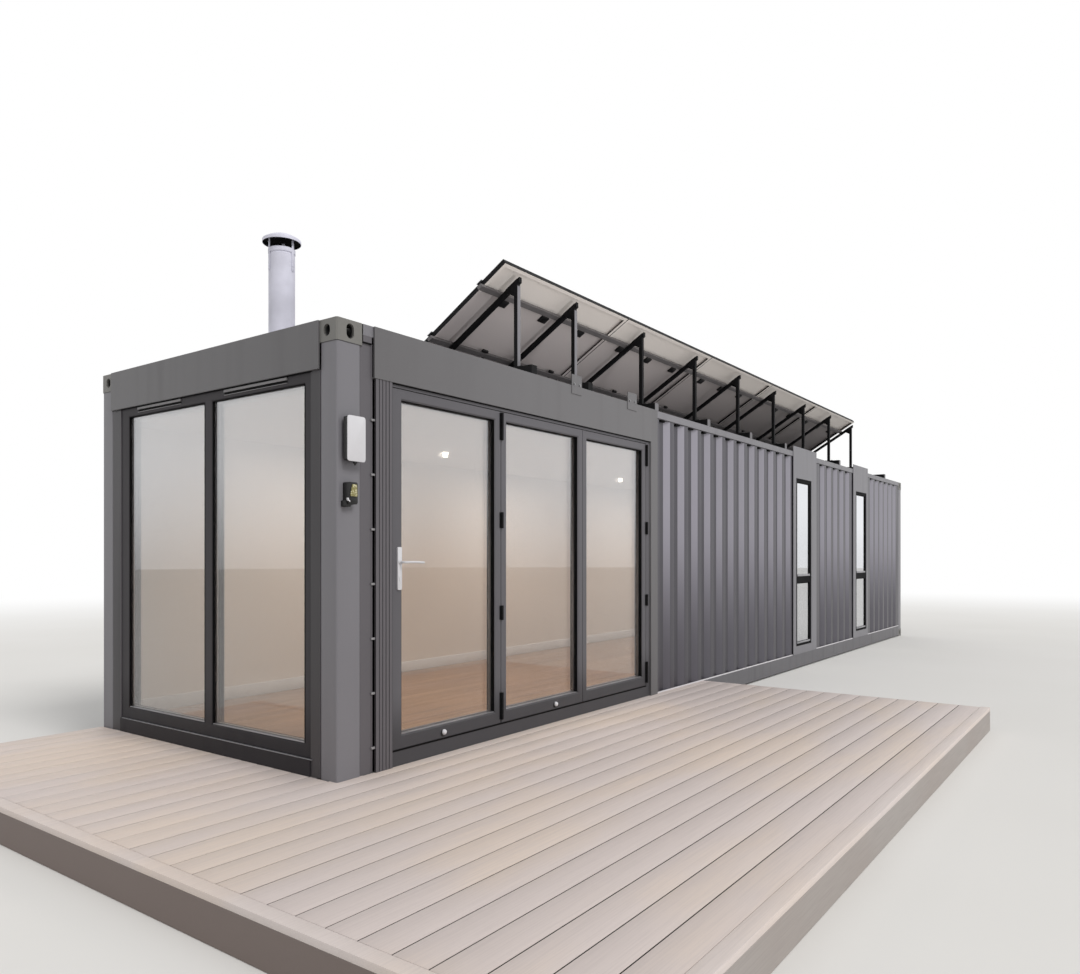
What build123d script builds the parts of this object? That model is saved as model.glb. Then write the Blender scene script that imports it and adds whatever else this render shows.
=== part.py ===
"""A one-room cabin made from a forty foot steel container, with a glazed end, a folding door and a deck."""
from build123d import *
import os
from math import cos, radians, sin, tan

os.makedirs("parts", exist_ok=True)

# All lengths are in millimetres. X runs along the cabin from its glazed end, Y across it from the side
# with the folding door, and Z up from the ground. Places are given as distances from the ground under
# the near corner, where the glazed end and the door side meet.

# Container shell
length = 12192
width = 2438
height = 2591
casting_size = (178, 162, 118)
casting_wall = 30
casting_bevel = 8
top_slot = (124, 63.5)
side_slot = (79, 51)
end_slot = (63.5, 51)
front_post = (160, 133)
rear_post = (175, 159)
post_setback = 3
post_wall = 6
post_round = 12
steel = 6
rail_foot = 15
rail_flange = 48
top_rail = 60
top_rail_wall = 3

# Corrugated sheets
sheet = 2
wave_pitch = 278
wave_flat = 72
wave_slope = 68
wave_depth = 36
sheet_setback = 8
rear_pitch = 250
rear_flat = 80
rear_slope = 20
rear_depth = 45
roof_pitch = 209
roof_flat = 91
roof_slope = 13
roof_depth = 20
wall_stretches = [(3464, 6850), (7700, 9330), (10090, length - casting_size[0])]

# Floor, linings and ceiling
deck_level = 175
subfloor = 28
finished_floor = 75
cross_member = (45, 120, 4)
cross_member_pitch = 590
cross_member_inset = 350
lining_gap = 48
lining = 70
ceiling_level = 2250
ceiling_thickness = 100

# Cover plates over the door and the glazed end
plate = 6
header_proud = 12
side_header_span = (250, 3464)
side_header_foot = 2312
header_lugs = [(2148, 2279), (2950, 3095)]
lug_heights = (2530, 2670)
front_header_margin = 137
front_header_foot = 2335
strip_end = 240
strip_depth = 10
rail_plate_foot = 2497
jamb_cover = (262, 384)
jamb_cover_proud = 8
jamb_rib_depth = 4
jamb_rib_width = 5
jamb_ribs = 4

# Folding door
door_face = 6
door_frame_start = 351
door_opening = (391, 3293)
door_frame_end = 3349
threshold_top = 261
door_head = 2291
leaf_gap = 4
leaf_depth = 72
leaf_count = 3
lock_stile = 77
stile = 58
leaf_top_rail = 60
leaf_bottom_rail = 80
glass_recess = 41
glazing_bead = 8
leaf_edge = 3
glass_unit = 24
hinge_radius = 11
hinge_flap = 24
hinge_plate = 3
hinge_heights = [(290, 467), (935, 1030), (1530, 1635), (2100, 2280)]
handle_height = 1315
handle_inset = 50
handle_plate = (31, 240, 10)
handle_plate_drop = 155
lever_reach = 52
lever_length = 150
lever_bar = 14
lever_bend = 20
catch_places = [810, 1970]
catch_size = (44, 28, 34)
catch_rise = 17
catch_round = 14

# Glazed end
front_face = 10
front_frame_depth = 80
front_frame_margins = (216, 243)
front_frame_lap = 15
front_bars = (59, 84, 98)
near_pane = 860
front_sill_top = 267
front_pane_foot = 345
front_pane_head = 2275
front_glass_recess = 30
sill_nose = 14
vent_places = [(145, 590), (251, 512)]
vent_size = (10, 28)

# Side windows
surround_spans = [(6850, 7700), (9330, 10090)]
surround_head = 2656
window_starts = [6950, 9460]
window_width = 550
window_foot = 270
window_head = 2280
window_bar = 50
transom = (1020, 1130)

# Solar array on the roof
tilt = 31
array_start = 1520
panel_length = 1650
panel_slope = 1000
panel_gap = 6
panel_count = 5
panel_frame = 35
panel_sheet = 8
panel_lip = 30
array_edge = (120, 3350)
purlin = (40, 25)
purlin_places = [235, 780]
purlin_overhang = 35
rafter_size = 32
beam_size = 65
solar_post_size = 32
solar_post_place = 135
first_post = 1715
second_post = 2425
post_pitch = 1047
post_count = 8
bare_beam_inset = 1072

# Flue
flue_place = (1220, 2100)
flue_radius = 100
flue_wall = 25
flue_top = 3750
flashing_radius = 160
flashing_height = 60
cowl_radius = 150
cowl_skirt = 26
cowl_rise = 54
cowl_gap = 50
cowl_sheet = 4
cowl_strap = 26
cowl_strap_drop = 180
cowl_strap_count = 3
cowl_strap_turn = 47

# Boxes on the near post
wall_box_span = (19, 148)
wall_box_heights = (1850, 2090)
wall_box_base = (6, 36)
wall_box_cover = 20
wall_box_round = 22
wall_box_edge = 8
keypad_span = (41, 105)
keypad_heights = (1620, 1735)
keypad_depth = 45
keypad_bevel = 8

# Deck
deck_front_reach = 1200
deck_side_reach = 2400
deck_length = 4400
deck_board = 25
fascia = 20
nosing_width = 70
nosing_rise = 3
joist = 45
joist_pitch = 500

# Values worked out from the ones above
end_face = (deck_front_reach - length) / 2
side_face = (deck_side_reach - width) / 2
post_top = height - casting_size[2]
post_end = post_setback + front_post[0]
post_side = post_setback + front_post[1]
rear_post_start = length - post_setback - rear_post[0]
rear_post_side = post_setback + rear_post[1]
rail_seat = height - top_rail
lining_face = lining_gap + lining
floor_top = deck_level + finished_floor
leaf_pitch = (door_opening[1] - door_opening[0] - leaf_gap) / leaf_count
leaf_width = leaf_pitch - leaf_gap
leaf_foot = threshold_top + leaf_gap
leaf_head = door_head - leaf_gap
rear_lining_face = length - lining_face
front_frame_span = (front_frame_margins[0], width - front_frame_margins[1])
mullion_start = front_frame_span[0] + front_bars[0] + near_pane
front_pane_spans = [(front_frame_span[0] + front_bars[0], mullion_start),
                    (mullion_start + front_bars[1], front_frame_span[1] - front_bars[2])]
post_places = [first_post] + [second_post + post_pitch * i for i in range(post_count)]


def block(x, y, z, mode=Mode.ADD):
    """Adds a rectangular solid, between two distances each way, to the part being built."""
    middle = (end_face + (x[0] + x[1]) / 2, side_face + (y[0] + y[1]) / 2, (z[0] + z[1]) / 2)
    with Locations(middle):
        Box(x[1] - x[0], y[1] - y[0], z[1] - z[0], mode=mode)


def level(z):
    """A level plane at a height, with its origin over the near corner."""
    return Plane((end_face, side_face, z))


def cross_section(x):
    """An upright plane across the cabin: its x is the distance across and its y the height."""
    return Plane(origin=(end_face + x, side_face, 0), x_dir=(0, 1, 0), z_dir=(1, 0, 0))


def long_section(y):
    """An upright plane along the cabin: its x is the distance along and its y the height."""
    return Plane(origin=(end_face, side_face + y, 0), x_dir=(1, 0, 0), z_dir=(0, -1, 0))


def room_layer(heights):
    """Adds a level layer that fills the room between its linings, stepping in beside the corner posts."""
    room_start = front_face + front_frame_depth
    block((post_end, rear_post_start), (lining_face, width - lining_face), heights)
    block((room_start, post_end), (post_side, width - post_side), heights)
    block((rear_post_start, rear_lining_face), (rear_post_side, width - rear_post_side), heights)


def save(part, name):
    """Names a finished piece and writes it to its own file."""
    part.label = name
    export_step(part, f"parts/{name}.step")


def corrugation(start, end, pitch, flat, slope, depth):
    """The outer line of a corrugated sheet from start to end, as (place, depth) points."""
    waves = int((end - start) // pitch)
    margin = (end - start - waves * pitch) / 2
    crest = pitch - 2 * slope - flat
    points = [(start, 0)]
    for wave in range(waves):
        foot = start + margin + wave * pitch + crest / 2
        points.append((foot, 0))
        points.append((foot + slope, depth))
        points.append((foot + slope + flat, depth))
        points.append((foot + 2 * slope + flat, 0))
    points.append((end, 0))
    return points


# Corner castings and posts

def casting(x_side, y_side, z_side):
    """Adds one hollow corner casting, at the chosen end, side and level, with the slots that can be reached."""
    size_x, size_y, size_z = casting_size
    x = x_side * (length - size_x)
    y = y_side * (width - size_y)
    z = z_side * (height - size_z)
    middle = (x + size_x / 2, y + size_y / 2)
    with BuildSketch(level(z)) as outline:
        with Locations(middle):
            Rectangle(size_x, size_y)
        chamfer(outline.vertices(), casting_bevel)
    extrude(outline.sketch, amount=size_z)
    inner = casting_wall
    block((x + inner, x + size_x - inner), (y + inner, y + size_y - inner),
          (z + inner, z + size_z - inner), mode=Mode.SUBTRACT)
    if z_side == 1:
        with BuildSketch(level(z + size_z - inner)) as flat_slot:
            with Locations(middle):
                SlotOverall(*top_slot)
        extrude(flat_slot.sketch, amount=inner, mode=Mode.SUBTRACT)
    with BuildSketch(long_section(y + y_side * (size_y - inner))) as long_slot:
        with Locations((middle[0], z + size_z / 2)):
            SlotOverall(*side_slot, rotation=90)
    extrude(long_slot.sketch, amount=-inner, mode=Mode.SUBTRACT)
    with BuildSketch(cross_section(x + x_side * (size_x - inner))) as short_slot:
        with Locations((middle[1], z + size_z / 2)):
            SlotOverall(*end_slot, rotation=90)
    extrude(short_slot.sketch, amount=inner, mode=Mode.SUBTRACT)


with BuildPart() as corner_castings:
    for x_side in (0, 1):
        for y_side in (0, 1):
            for z_side in (0, 1):
                casting(x_side, y_side, z_side)
save(corner_castings.part, "corner_castings")

with BuildPart() as corner_posts:
    for (along, across), front in ((front_post, True), (rear_post, False)):
        x = post_setback + along / 2 if front else length - post_setback - along / 2
        for y in (post_setback + across / 2, width - post_setback - across / 2):
            with BuildSketch(level(casting_size[2])):
                with Locations((x, y)):
                    RectangleRounded(along, across, post_round)
                    Rectangle(along - 2 * post_wall, across - 2 * post_wall, mode=Mode.SUBTRACT)
            extrude(amount=post_top - casting_size[2])
save(corner_posts.part, "corner_posts")

# Rails and floor structure

with BuildPart() as bottom_rails:
    rail_height = deck_level - rail_foot
    for y, inward in ((0, 1), (width, -1)):
        with BuildSketch(cross_section(casting_size[0])):
            with Locations((y + inward * rail_flange / 2, rail_foot + rail_height / 2)):
                Rectangle(rail_flange, rail_height)
            with Locations((y + inward * (rail_flange + steel) / 2, rail_foot + rail_height / 2)):
                Rectangle(rail_flange - steel, rail_height - 2 * steel, mode=Mode.SUBTRACT)
        extrude(amount=length - 2 * casting_size[0])
    for x, inward in ((0, 1), (length, -1)):
        with BuildSketch(long_section(casting_size[1])):
            with Locations((x + inward * rail_flange / 2, rail_foot + rail_height / 2)):
                Rectangle(rail_flange, rail_height)
            with Locations((x + inward * (rail_flange + steel) / 2, rail_foot + rail_height / 2)):
                Rectangle(rail_flange - steel, rail_height - 2 * steel, mode=Mode.SUBTRACT)
        extrude(amount=-(width - 2 * casting_size[1]))
save(bottom_rails.part, "bottom_rails")

with BuildPart() as top_rails:
    for y in (top_rail / 2, width - top_rail / 2):
        with BuildSketch(cross_section(casting_size[0])):
            with Locations((y, height - top_rail / 2)):
                Rectangle(top_rail, top_rail)
                Rectangle(top_rail - 2 * top_rail_wall, top_rail - 2 * top_rail_wall, mode=Mode.SUBTRACT)
        extrude(amount=length - 2 * casting_size[0])
    for x in (top_rail / 2, length - top_rail / 2):
        with BuildSketch(long_section(casting_size[1])):
            with Locations((x, height - top_rail / 2)):
                Rectangle(top_rail, top_rail)
                Rectangle(top_rail - 2 * top_rail_wall, top_rail - 2 * top_rail_wall, mode=Mode.SUBTRACT)
        extrude(amount=-(width - 2 * casting_size[1]))
save(top_rails.part, "top_rails")

with BuildPart() as cross_members:
    flange, web, thickness = cross_member
    member_foot = deck_level - subfloor - web
    places = int((length - 2 * cross_member_inset) // cross_member_pitch) + 1
    for place in range(places):
        x = cross_member_inset + place * cross_member_pitch
        with BuildSketch(long_section(steel)):
            with Locations((x + flange / 2, member_foot + web / 2)):
                Rectangle(flange, web)
            with Locations((x + (flange + thickness) / 2, member_foot + web / 2)):
                Rectangle(flange - thickness, web - 2 * thickness, mode=Mode.SUBTRACT)
        extrude(amount=-(width - 2 * steel))
save(cross_members.part, "cross_members")

with BuildPart() as subfloor_boards:
    under = (deck_level - subfloor, deck_level)
    block((casting_size[0], length - casting_size[0]), (rail_flange, width - rail_flange), under)
    block((rail_flange, length - rail_flange), (casting_size[1], width - casting_size[1]), under)
save(subfloor_boards.part, "subfloor_boards")

with BuildPart() as wood_floor:
    room_layer((deck_level, floor_top))
save(wood_floor.part, "wood_floor")

# Corrugated steel sheets

with BuildPart() as near_wall_sheets:
    for start, end in wall_stretches:
        outer = corrugation(start, end, wave_pitch, wave_flat, wave_slope, wave_depth)
        front = [(x, sheet_setback + y) for x, y in outer]
        back = [(x, sheet_setback + sheet + y) for x, y in reversed(outer)]
        with BuildSketch(level(deck_level)):
            with BuildLine():
                Polyline(*front, *back, close=True)
            make_face()
        extrude(amount=rail_seat - deck_level)
save(near_wall_sheets.part, "near_wall_sheets")

with BuildPart() as far_wall_sheet:
    outer = corrugation(casting_size[0], length - casting_size[0], wave_pitch, wave_flat, wave_slope, wave_depth)
    front = [(x, width - sheet_setback - y) for x, y in outer]
    back = [(x, width - sheet_setback - sheet - y) for x, y in reversed(outer)]
    with BuildSketch(level(deck_level)):
        with BuildLine():
            Polyline(*front, *back, close=True)
        make_face()
    extrude(amount=rail_seat - deck_level)
save(far_wall_sheet.part, "far_wall_sheet")

with BuildPart() as rear_wall_sheet:
    outer = corrugation(casting_size[1], width - casting_size[1], rear_pitch, rear_flat, rear_slope, rear_depth)
    front = [(length - sheet_setback - x, y) for y, x in outer]
    back = [(length - sheet_setback - sheet - x, y) for y, x in reversed(outer)]
    with BuildSketch(level(deck_level)):
        with BuildLine():
            Polyline(*front, *back, close=True)
        make_face()
    extrude(amount=rail_seat - deck_level)
save(rear_wall_sheet.part, "rear_wall_sheet")

with BuildPart() as roof_sheet:
    outer = corrugation(casting_size[0], length - casting_size[0], roof_pitch, roof_flat, roof_slope,
                        roof_depth)
    front = [(x, height - sheet - z) for x, z in outer]
    back = [(x, height - 2 * sheet - z) for x, z in reversed(outer)]
    with BuildSketch(long_section(top_rail)):
        with BuildLine():
            Polyline(*front, *back, close=True)
        make_face()
    extrude(amount=-(width - 2 * top_rail))
    for x in ((top_rail, casting_size[0]), (length - casting_size[0], length - top_rail)):
        block(x, (casting_size[1], width - casting_size[1]), (height - 2 * sheet, height - sheet))
save(roof_sheet.part, "roof_sheet")

# Insulated linings and ceiling

lining_top = ceiling_level + ceiling_thickness

with BuildPart() as near_wall_lining:
    block((post_end, door_frame_start), (lining_gap, lining_face), (deck_level, lining_top))
    block((door_frame_end, rear_post_start), (lining_gap, lining_face), (deck_level, lining_top))
    for start in window_starts:
        block((start, start + window_width), (lining_gap, lining_face), (window_foot, lining_top),
              mode=Mode.SUBTRACT)
save(near_wall_lining.part, "near_wall_lining")

with BuildPart() as far_wall_lining:
    block((post_end, rear_post_start), (width - lining_face, width - lining_gap), (deck_level, lining_top))
save(far_wall_lining.part, "far_wall_lining")

with BuildPart() as rear_wall_lining:
    rear_back = length - sheet_setback - rear_depth - sheet
    block((rear_lining_face, rear_back), (rear_post_side, width - rear_post_side), (deck_level, lining_top))
save(rear_wall_lining.part, "rear_wall_lining")

with BuildPart() as ceiling:
    room_layer((ceiling_level, lining_top))
save(ceiling.part, "ceiling")

# Cover plates

with BuildPart() as side_header:
    start, end = side_header_span
    face = (-header_proud, plate - header_proud)
    block((start, end), face, (side_header_foot, height))
    block((door_frame_end, end), face, (deck_level, side_header_foot))
    block((start, end), (-header_proud, 0), (height - plate, height))
    block((start, door_frame_end + plate), (-header_proud, rail_flange),
          (side_header_foot, side_header_foot + plate))
    block((door_frame_end, door_frame_end + plate), (-header_proud, rail_flange), (deck_level, side_header_foot))
    block((end - plate, end), (-header_proud, rail_flange), (deck_level, rail_seat))
    block((end - plate, end), (-header_proud, 0), (rail_seat, height))
    block((start, start + plate), (-header_proud, 0), (side_header_foot, height))
    for lug in header_lugs:
        block(lug, (-header_proud - plate, -header_proud), lug_heights)
save(side_header.part, "side_header")

with BuildPart() as front_header:
    face = (-header_proud, plate - header_proud)
    span = (front_header_margin, width - front_header_margin)
    block(face, span, (front_header_foot, height))
    block((-header_proud, 0), span, (height - plate, height))
    block((-header_proud, rail_flange), span, (front_header_foot, front_header_foot + plate))
    for y in (span[0], span[1] - plate):
        block((-header_proud, 0), (y, y + plate), (front_header_foot, height))
save(front_header.part, "front_header")

with BuildPart() as post_trims:
    strip = (strip_depth, strip_depth + plate)
    block((post_end, strip_end), strip, (deck_level, post_top))
    block((casting_size[0], strip_end), strip, (post_top, rail_seat))
    block((casting_size[0], strip_end), (0, plate), (rail_plate_foot, rail_seat))
    far_strip = (width - sheet_setback - plate, width - sheet_setback)
    block((post_end, casting_size[0]), far_strip, (deck_level, post_top))
    block((strip_end - plate, strip_end), (strip_depth, lining_gap), (deck_level, rail_seat))
    jamb_plate = (front_face - plate, front_face)
    for y in ((post_side, front_frame_span[0]), (front_frame_span[1], width - post_side)):
        block(jamb_plate, y, (deck_level, front_header_foot))
save(post_trims.part, "post_trims")

with BuildPart() as jamb_cover_profile:
    block(jamb_cover, (-jamb_cover_proud, door_face), (deck_level, side_header_foot))
    rib_step = (jamb_cover[1] - jamb_cover[0]) / (jamb_ribs + 1)
    for rib in range(jamb_ribs):
        x = jamb_cover[0] + (rib + 1) * rib_step
        block((x - jamb_rib_width / 2, x + jamb_rib_width / 2),
              (-jamb_cover_proud, jamb_rib_depth - jamb_cover_proud),
              (deck_level, side_header_foot), mode=Mode.SUBTRACT)
save(jamb_cover_profile.part, "jamb_cover")

# Folding door

with BuildPart() as door_frame:
    depth = (door_face, lining_face)
    block((door_frame_start, door_frame_end), depth, (deck_level, side_header_foot))
    block(door_opening, depth, (threshold_top, door_head), mode=Mode.SUBTRACT)
save(door_frame.part, "door_frame")


def leaf_start(number):
    """The distance along to the near edge of a door leaf, counted from 0 at the glazed end."""
    return door_opening[0] + leaf_gap + number * leaf_pitch


def leaf_glass(number):
    """The span of a leaf's glass, between its two stiles."""
    first_stile = lock_stile if number == 0 else stile
    return (leaf_start(number) + first_stile, leaf_start(number) + leaf_width - stile)


leaf_names = ["lead_door_leaf", "middle_door_leaf", "end_door_leaf"]
pane_heights = (leaf_foot + leaf_bottom_rail, leaf_head - leaf_top_rail)

for number, name in enumerate(leaf_names):
    with BuildPart() as door_leaf:
        depth = (door_face, door_face + leaf_depth)
        start = leaf_start(number)
        block((start, start + leaf_width), depth, (leaf_foot, leaf_head))
        block(leaf_glass(number), depth, pane_heights, mode=Mode.SUBTRACT)
        outer_face = door_leaf.faces().sort_by(Axis.Y)[0]
        chamfer(outer_face.inner_wires()[0].edges(), glazing_bead)
        outer_face = door_leaf.faces().sort_by(Axis.Y)[0]
        chamfer(outer_face.outer_wire().edges(), leaf_edge)
    save(door_leaf.part, name)

with BuildPart() as door_glass:
    for number in range(leaf_count):
        glass_front = door_face + glass_recess
        block(leaf_glass(number), (glass_front, glass_front + glass_unit), pane_heights)
save(door_glass.part, "door_glass")


def hinge(x, face, outward, heights):
    """Adds one hinge, its barrel standing off a face and its flaps on both sides of the barrel."""
    foot, head = heights
    with BuildSketch(level(foot)) as barrel_and_flaps:
        with Locations((x, face + outward * hinge_radius)):
            Circle(hinge_radius)
        with Locations((x, face + outward * hinge_radius / 2)):
            Rectangle(2 * hinge_radius, hinge_radius)
        with Locations((x, face + outward * hinge_plate / 2)):
            Rectangle(2 * (hinge_radius + hinge_flap), hinge_plate)
    extrude(barrel_and_flaps.sketch, amount=head - foot)


with BuildPart() as door_hinges:
    for heights in hinge_heights:
        hinge(leaf_start(1) - leaf_gap / 2, door_face, -1, heights)
        hinge(leaf_start(2) - leaf_gap / 2, door_face + leaf_depth, 1, heights)
        hinge(leaf_start(2) + leaf_width + leaf_gap / 2, door_face, -1, heights)
save(door_hinges.part, "door_hinges")

with BuildPart() as door_furniture:
    plate_width, plate_height, plate_depth = handle_plate
    handle_x = leaf_start(0) + handle_inset
    plate_foot = handle_height - handle_plate_drop
    plate_face = door_face - plate_depth
    block((handle_x - plate_width / 2, handle_x + plate_width / 2), (plate_face, door_face),
          (plate_foot, plate_foot + plate_height))
    with BuildLine(level(handle_height)):
        FilletPolyline((handle_x, plate_face), (handle_x, door_face - lever_reach),
                       (handle_x + lever_length, door_face - lever_reach), radius=lever_bend)
    with BuildSketch(long_section(plate_face)):
        with Locations((handle_x, handle_height)):
            Rectangle(lever_bar, lever_bar)
    sweep()
    catch_width, catch_depth, catch_height = catch_size
    for place in catch_places:
        with BuildSketch(long_section(door_face)) as catch:
            with Locations((place, leaf_foot + catch_rise + catch_height / 2)):
                Rectangle(catch_width, catch_height)
            fillet(catch.vertices().group_by(Axis.Y)[-1], catch_round)
        extrude(amount=catch_depth)
save(door_furniture.part, "door_furniture")

# Glazed end

front_frame = (front_frame_span[0] - front_frame_lap, front_frame_span[1] + front_frame_lap)
frame_depth = (front_face, front_face + front_frame_depth)

with BuildPart() as front_window_frame:
    block(frame_depth, front_frame, (front_sill_top, front_header_foot))
    for span in front_pane_spans:
        block(frame_depth, span, (front_pane_foot, front_pane_head), mode=Mode.SUBTRACT)
    for daylight_edge in front_window_frame.faces().sort_by(Axis.X)[0].inner_wires():
        chamfer(daylight_edge.edges(), glazing_bead)
save(front_window_frame.part, "front_window_frame")

with BuildPart() as front_sill:
    block((front_face - sill_nose, front_face + front_frame_depth), front_frame_span,
          (deck_level, front_sill_top))
save(front_sill.part, "front_sill")

with BuildPart() as vents:
    thickness, rise = vent_size
    for pane, (inset, vent_length) in zip(front_pane_spans, vent_places):
        span = (pane[0] + inset, pane[0] + inset + vent_length)
        block((front_face - thickness, front_face), span, (front_header_foot - rise, front_header_foot))
save(vents.part, "vents")

# Side windows

with BuildPart() as window_surrounds:
    for (start, end), window in zip(surround_spans, window_starts):
        block((start, end), (-plate, 0), (deck_level, surround_head))
        block((start, start + plate), (0, lining_gap), (deck_level, rail_seat))
        block((end - plate, end), (0, lining_gap), (deck_level, rail_seat))
        block((window, window + window_width), (-plate, 0), (window_foot, window_head), mode=Mode.SUBTRACT)
save(window_surrounds.part, "window_surrounds")

with BuildPart() as side_window_frames:
    for window in window_starts:
        block((window, window + window_width), (0, lining_face), (window_foot, window_head))
        block((window + window_bar, window + window_width - window_bar), (0, lining_face),
              (transom[1], window_head - window_bar), mode=Mode.SUBTRACT)
        block((window + window_bar, window + window_width - window_bar), (0, lining_face),
              (window_foot + window_bar, transom[0]), mode=Mode.SUBTRACT)
    for front in side_window_frames.faces().group_by(Axis.Y)[0]:
        for daylight_edge in front.inner_wires():
            chamfer(daylight_edge.edges(), glazing_bead)
save(side_window_frames.part, "side_window_frames")

with BuildPart() as window_glass:
    for span in front_pane_spans:
        glass_front = front_face + front_glass_recess
        block((glass_front, glass_front + glass_unit), span, (front_pane_foot, front_pane_head))
    for window in window_starts:
        for heights in ((window_foot + window_bar, transom[0]), (transom[1], window_head - window_bar)):
            block((window + window_bar, window + window_width - window_bar),
                  (front_glass_recess, front_glass_recess + glass_unit), heights)
save(window_glass.part, "window_glass")

# Solar array

slope = tan(radians(tilt))
edge_y, edge_z = array_edge


def underside(y, below):
    """The height under the array at a distance across, a thickness below its top surface."""
    return edge_z - (y - edge_y) * slope - below / cos(radians(tilt))


beam_top = height + beam_size
rafter_top = panel_frame + purlin[1]
rafter_foot = rafter_top + rafter_size
slope_plane = Plane(origin=(end_face, side_face + edge_y, edge_z), x_dir=(1, 0, 0),
                    z_dir=(0, sin(radians(tilt)), cos(radians(tilt))))

with BuildPart() as roof_beams:
    for x in post_places + [length - bare_beam_inset]:
        block((x - beam_size / 2, x + beam_size / 2), (0, width), (height, beam_top))
save(roof_beams.part, "roof_beams")

with BuildPart() as solar_posts:
    near, far = solar_post_place, solar_post_place + solar_post_size
    for x in post_places:
        with BuildSketch(cross_section(x - solar_post_size / 2)):
            with BuildLine():
                Polyline((near, beam_top), (far, beam_top), (far, underside(far, rafter_foot)),
                         (near, underside(near, rafter_foot)), close=True)
            make_face()
        extrude(amount=solar_post_size)
save(solar_posts.part, "solar_posts")

with BuildPart() as solar_rafters:
    seat_start = edge_y + (underside(edge_y, rafter_foot) - beam_top) / slope
    seat_end = edge_y + (underside(edge_y, rafter_top) - beam_top) / slope
    for x in post_places:
        with BuildSketch(cross_section(x - rafter_size / 2)):
            with BuildLine():
                Polyline((edge_y, underside(edge_y, rafter_top)), (edge_y, underside(edge_y, rafter_foot)),
                         (seat_start, beam_top), (seat_end, beam_top), close=True)
            make_face()
        extrude(amount=rafter_size)
save(solar_rafters.part, "solar_rafters")

array_length = panel_count * panel_length

with BuildPart() as solar_purlins:
    for place in purlin_places:
        with BuildSketch(slope_plane.offset(-panel_frame)):
            with Locations((array_start + array_length / 2, place)):
                Rectangle(array_length + 2 * purlin_overhang, purlin[0])
        extrude(amount=-purlin[1])
save(solar_purlins.part, "solar_purlins")

with BuildPart() as solar_panels:
    for number in range(panel_count):
        middle = (array_start + (number + 0.5) * panel_length, panel_slope / 2)
        outside = (panel_length - panel_gap, panel_slope)
        with BuildSketch(slope_plane):
            with Locations(middle):
                Rectangle(*outside)
        extrude(amount=-panel_frame)
        with BuildSketch(slope_plane.offset(-panel_sheet)):
            with Locations(middle):
                Rectangle(outside[0] - 2 * panel_lip, outside[1] - 2 * panel_lip)
        extrude(amount=panel_sheet - panel_frame, mode=Mode.SUBTRACT)
save(solar_panels.part, "solar_panels")

# Flue

flue_axis = Axis((end_face + flue_place[0], side_face + flue_place[1], 0), (0, 0, 1))
flue_section = Plane(origin=flue_axis.position, x_dir=(1, 0, 0), z_dir=(0, -1, 0))

with BuildPart() as flue_pipe:
    bore = flue_radius - flue_wall
    with BuildSketch(flue_section):
        with BuildLine():
            Polyline((bore, height - sheet), (flashing_radius, height - sheet),
                     (flue_radius, height + flashing_height), (flue_radius, flue_top), (bore, flue_top),
                     close=True)
        make_face()
    revolve(axis=flue_axis)
save(flue_pipe.part, "flue_pipe")

with BuildPart() as flue_cowl:
    rim = flue_top + cowl_gap
    shoulder = rim + cowl_skirt
    with BuildSketch(flue_section):
        with BuildLine():
            Polyline((0, shoulder - cowl_sheet), (cowl_radius - cowl_sheet, shoulder - cowl_sheet),
                     (cowl_radius - cowl_sheet, rim), (cowl_radius, rim), (cowl_radius, shoulder),
                     (0, shoulder + cowl_rise), close=True)
        make_face()
    revolve(axis=flue_axis)
    with BuildSketch(Plane((flue_axis.position.X, flue_axis.position.Y, flue_top - cowl_strap_drop))):
        with PolarLocations(flue_radius + cowl_sheet / 2, cowl_strap_count, start_angle=cowl_strap_turn):
            Rectangle(cowl_sheet, cowl_strap)
    extrude(amount=shoulder - cowl_sheet - flue_top + cowl_strap_drop)
save(flue_cowl.part, "flue_cowl")

# Boxes on the near post

with BuildPart() as wall_box:
    start, end = wall_box_span
    foot, head = wall_box_heights
    base_inset, base_depth = wall_box_base
    with BuildSketch(long_section(post_setback)):
        with Locations(((start + end) / 2, (foot + head) / 2)):
            Rectangle(end - start - 2 * base_inset, head - foot - 2 * base_inset)
    extrude(amount=base_depth)
    with BuildSketch(long_section(post_setback - base_depth)):
        with Locations(((start + end) / 2, (foot + head) / 2)):
            RectangleRounded(end - start, head - foot, wall_box_round)
    extrude(amount=wall_box_cover)
    chamfer(wall_box.faces().sort_by(Axis.Y)[0].edges(), wall_box_edge)
save(wall_box.part, "wall_box")

with BuildPart() as keypad:
    start, end = keypad_span
    foot, head = keypad_heights
    with BuildSketch(long_section(post_setback)) as outline:
        with Locations(((start + end) / 2, (foot + head) / 2)):
            Rectangle(end - start, head - foot)
        chamfer(outline.vertices(), keypad_bevel)
    extrude(amount=keypad_depth)
save(keypad.part, "keypad")

# Deck

board_foot = deck_level - deck_board
inner_x = (-deck_front_reach + fascia, deck_length - fascia)
inner_y = (-deck_side_reach + fascia, width - fascia)

with BuildPart() as deck_boards:
    boards = (board_foot, deck_level)
    block((-deck_front_reach + nosing_width, 0), (-deck_side_reach + nosing_width, width), boards)
    block((0, deck_length), (-deck_side_reach + nosing_width, 0), boards)
save(deck_boards.part, "deck_boards")

with BuildPart() as deck_nosing:
    nosing = (board_foot, deck_level + nosing_rise)
    block((-deck_front_reach, -deck_front_reach + nosing_width), (-deck_side_reach, width), nosing)
    block((-deck_front_reach, deck_length), (-deck_side_reach, -deck_side_reach + nosing_width), nosing)
save(deck_nosing.part, "deck_nosing")

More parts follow.
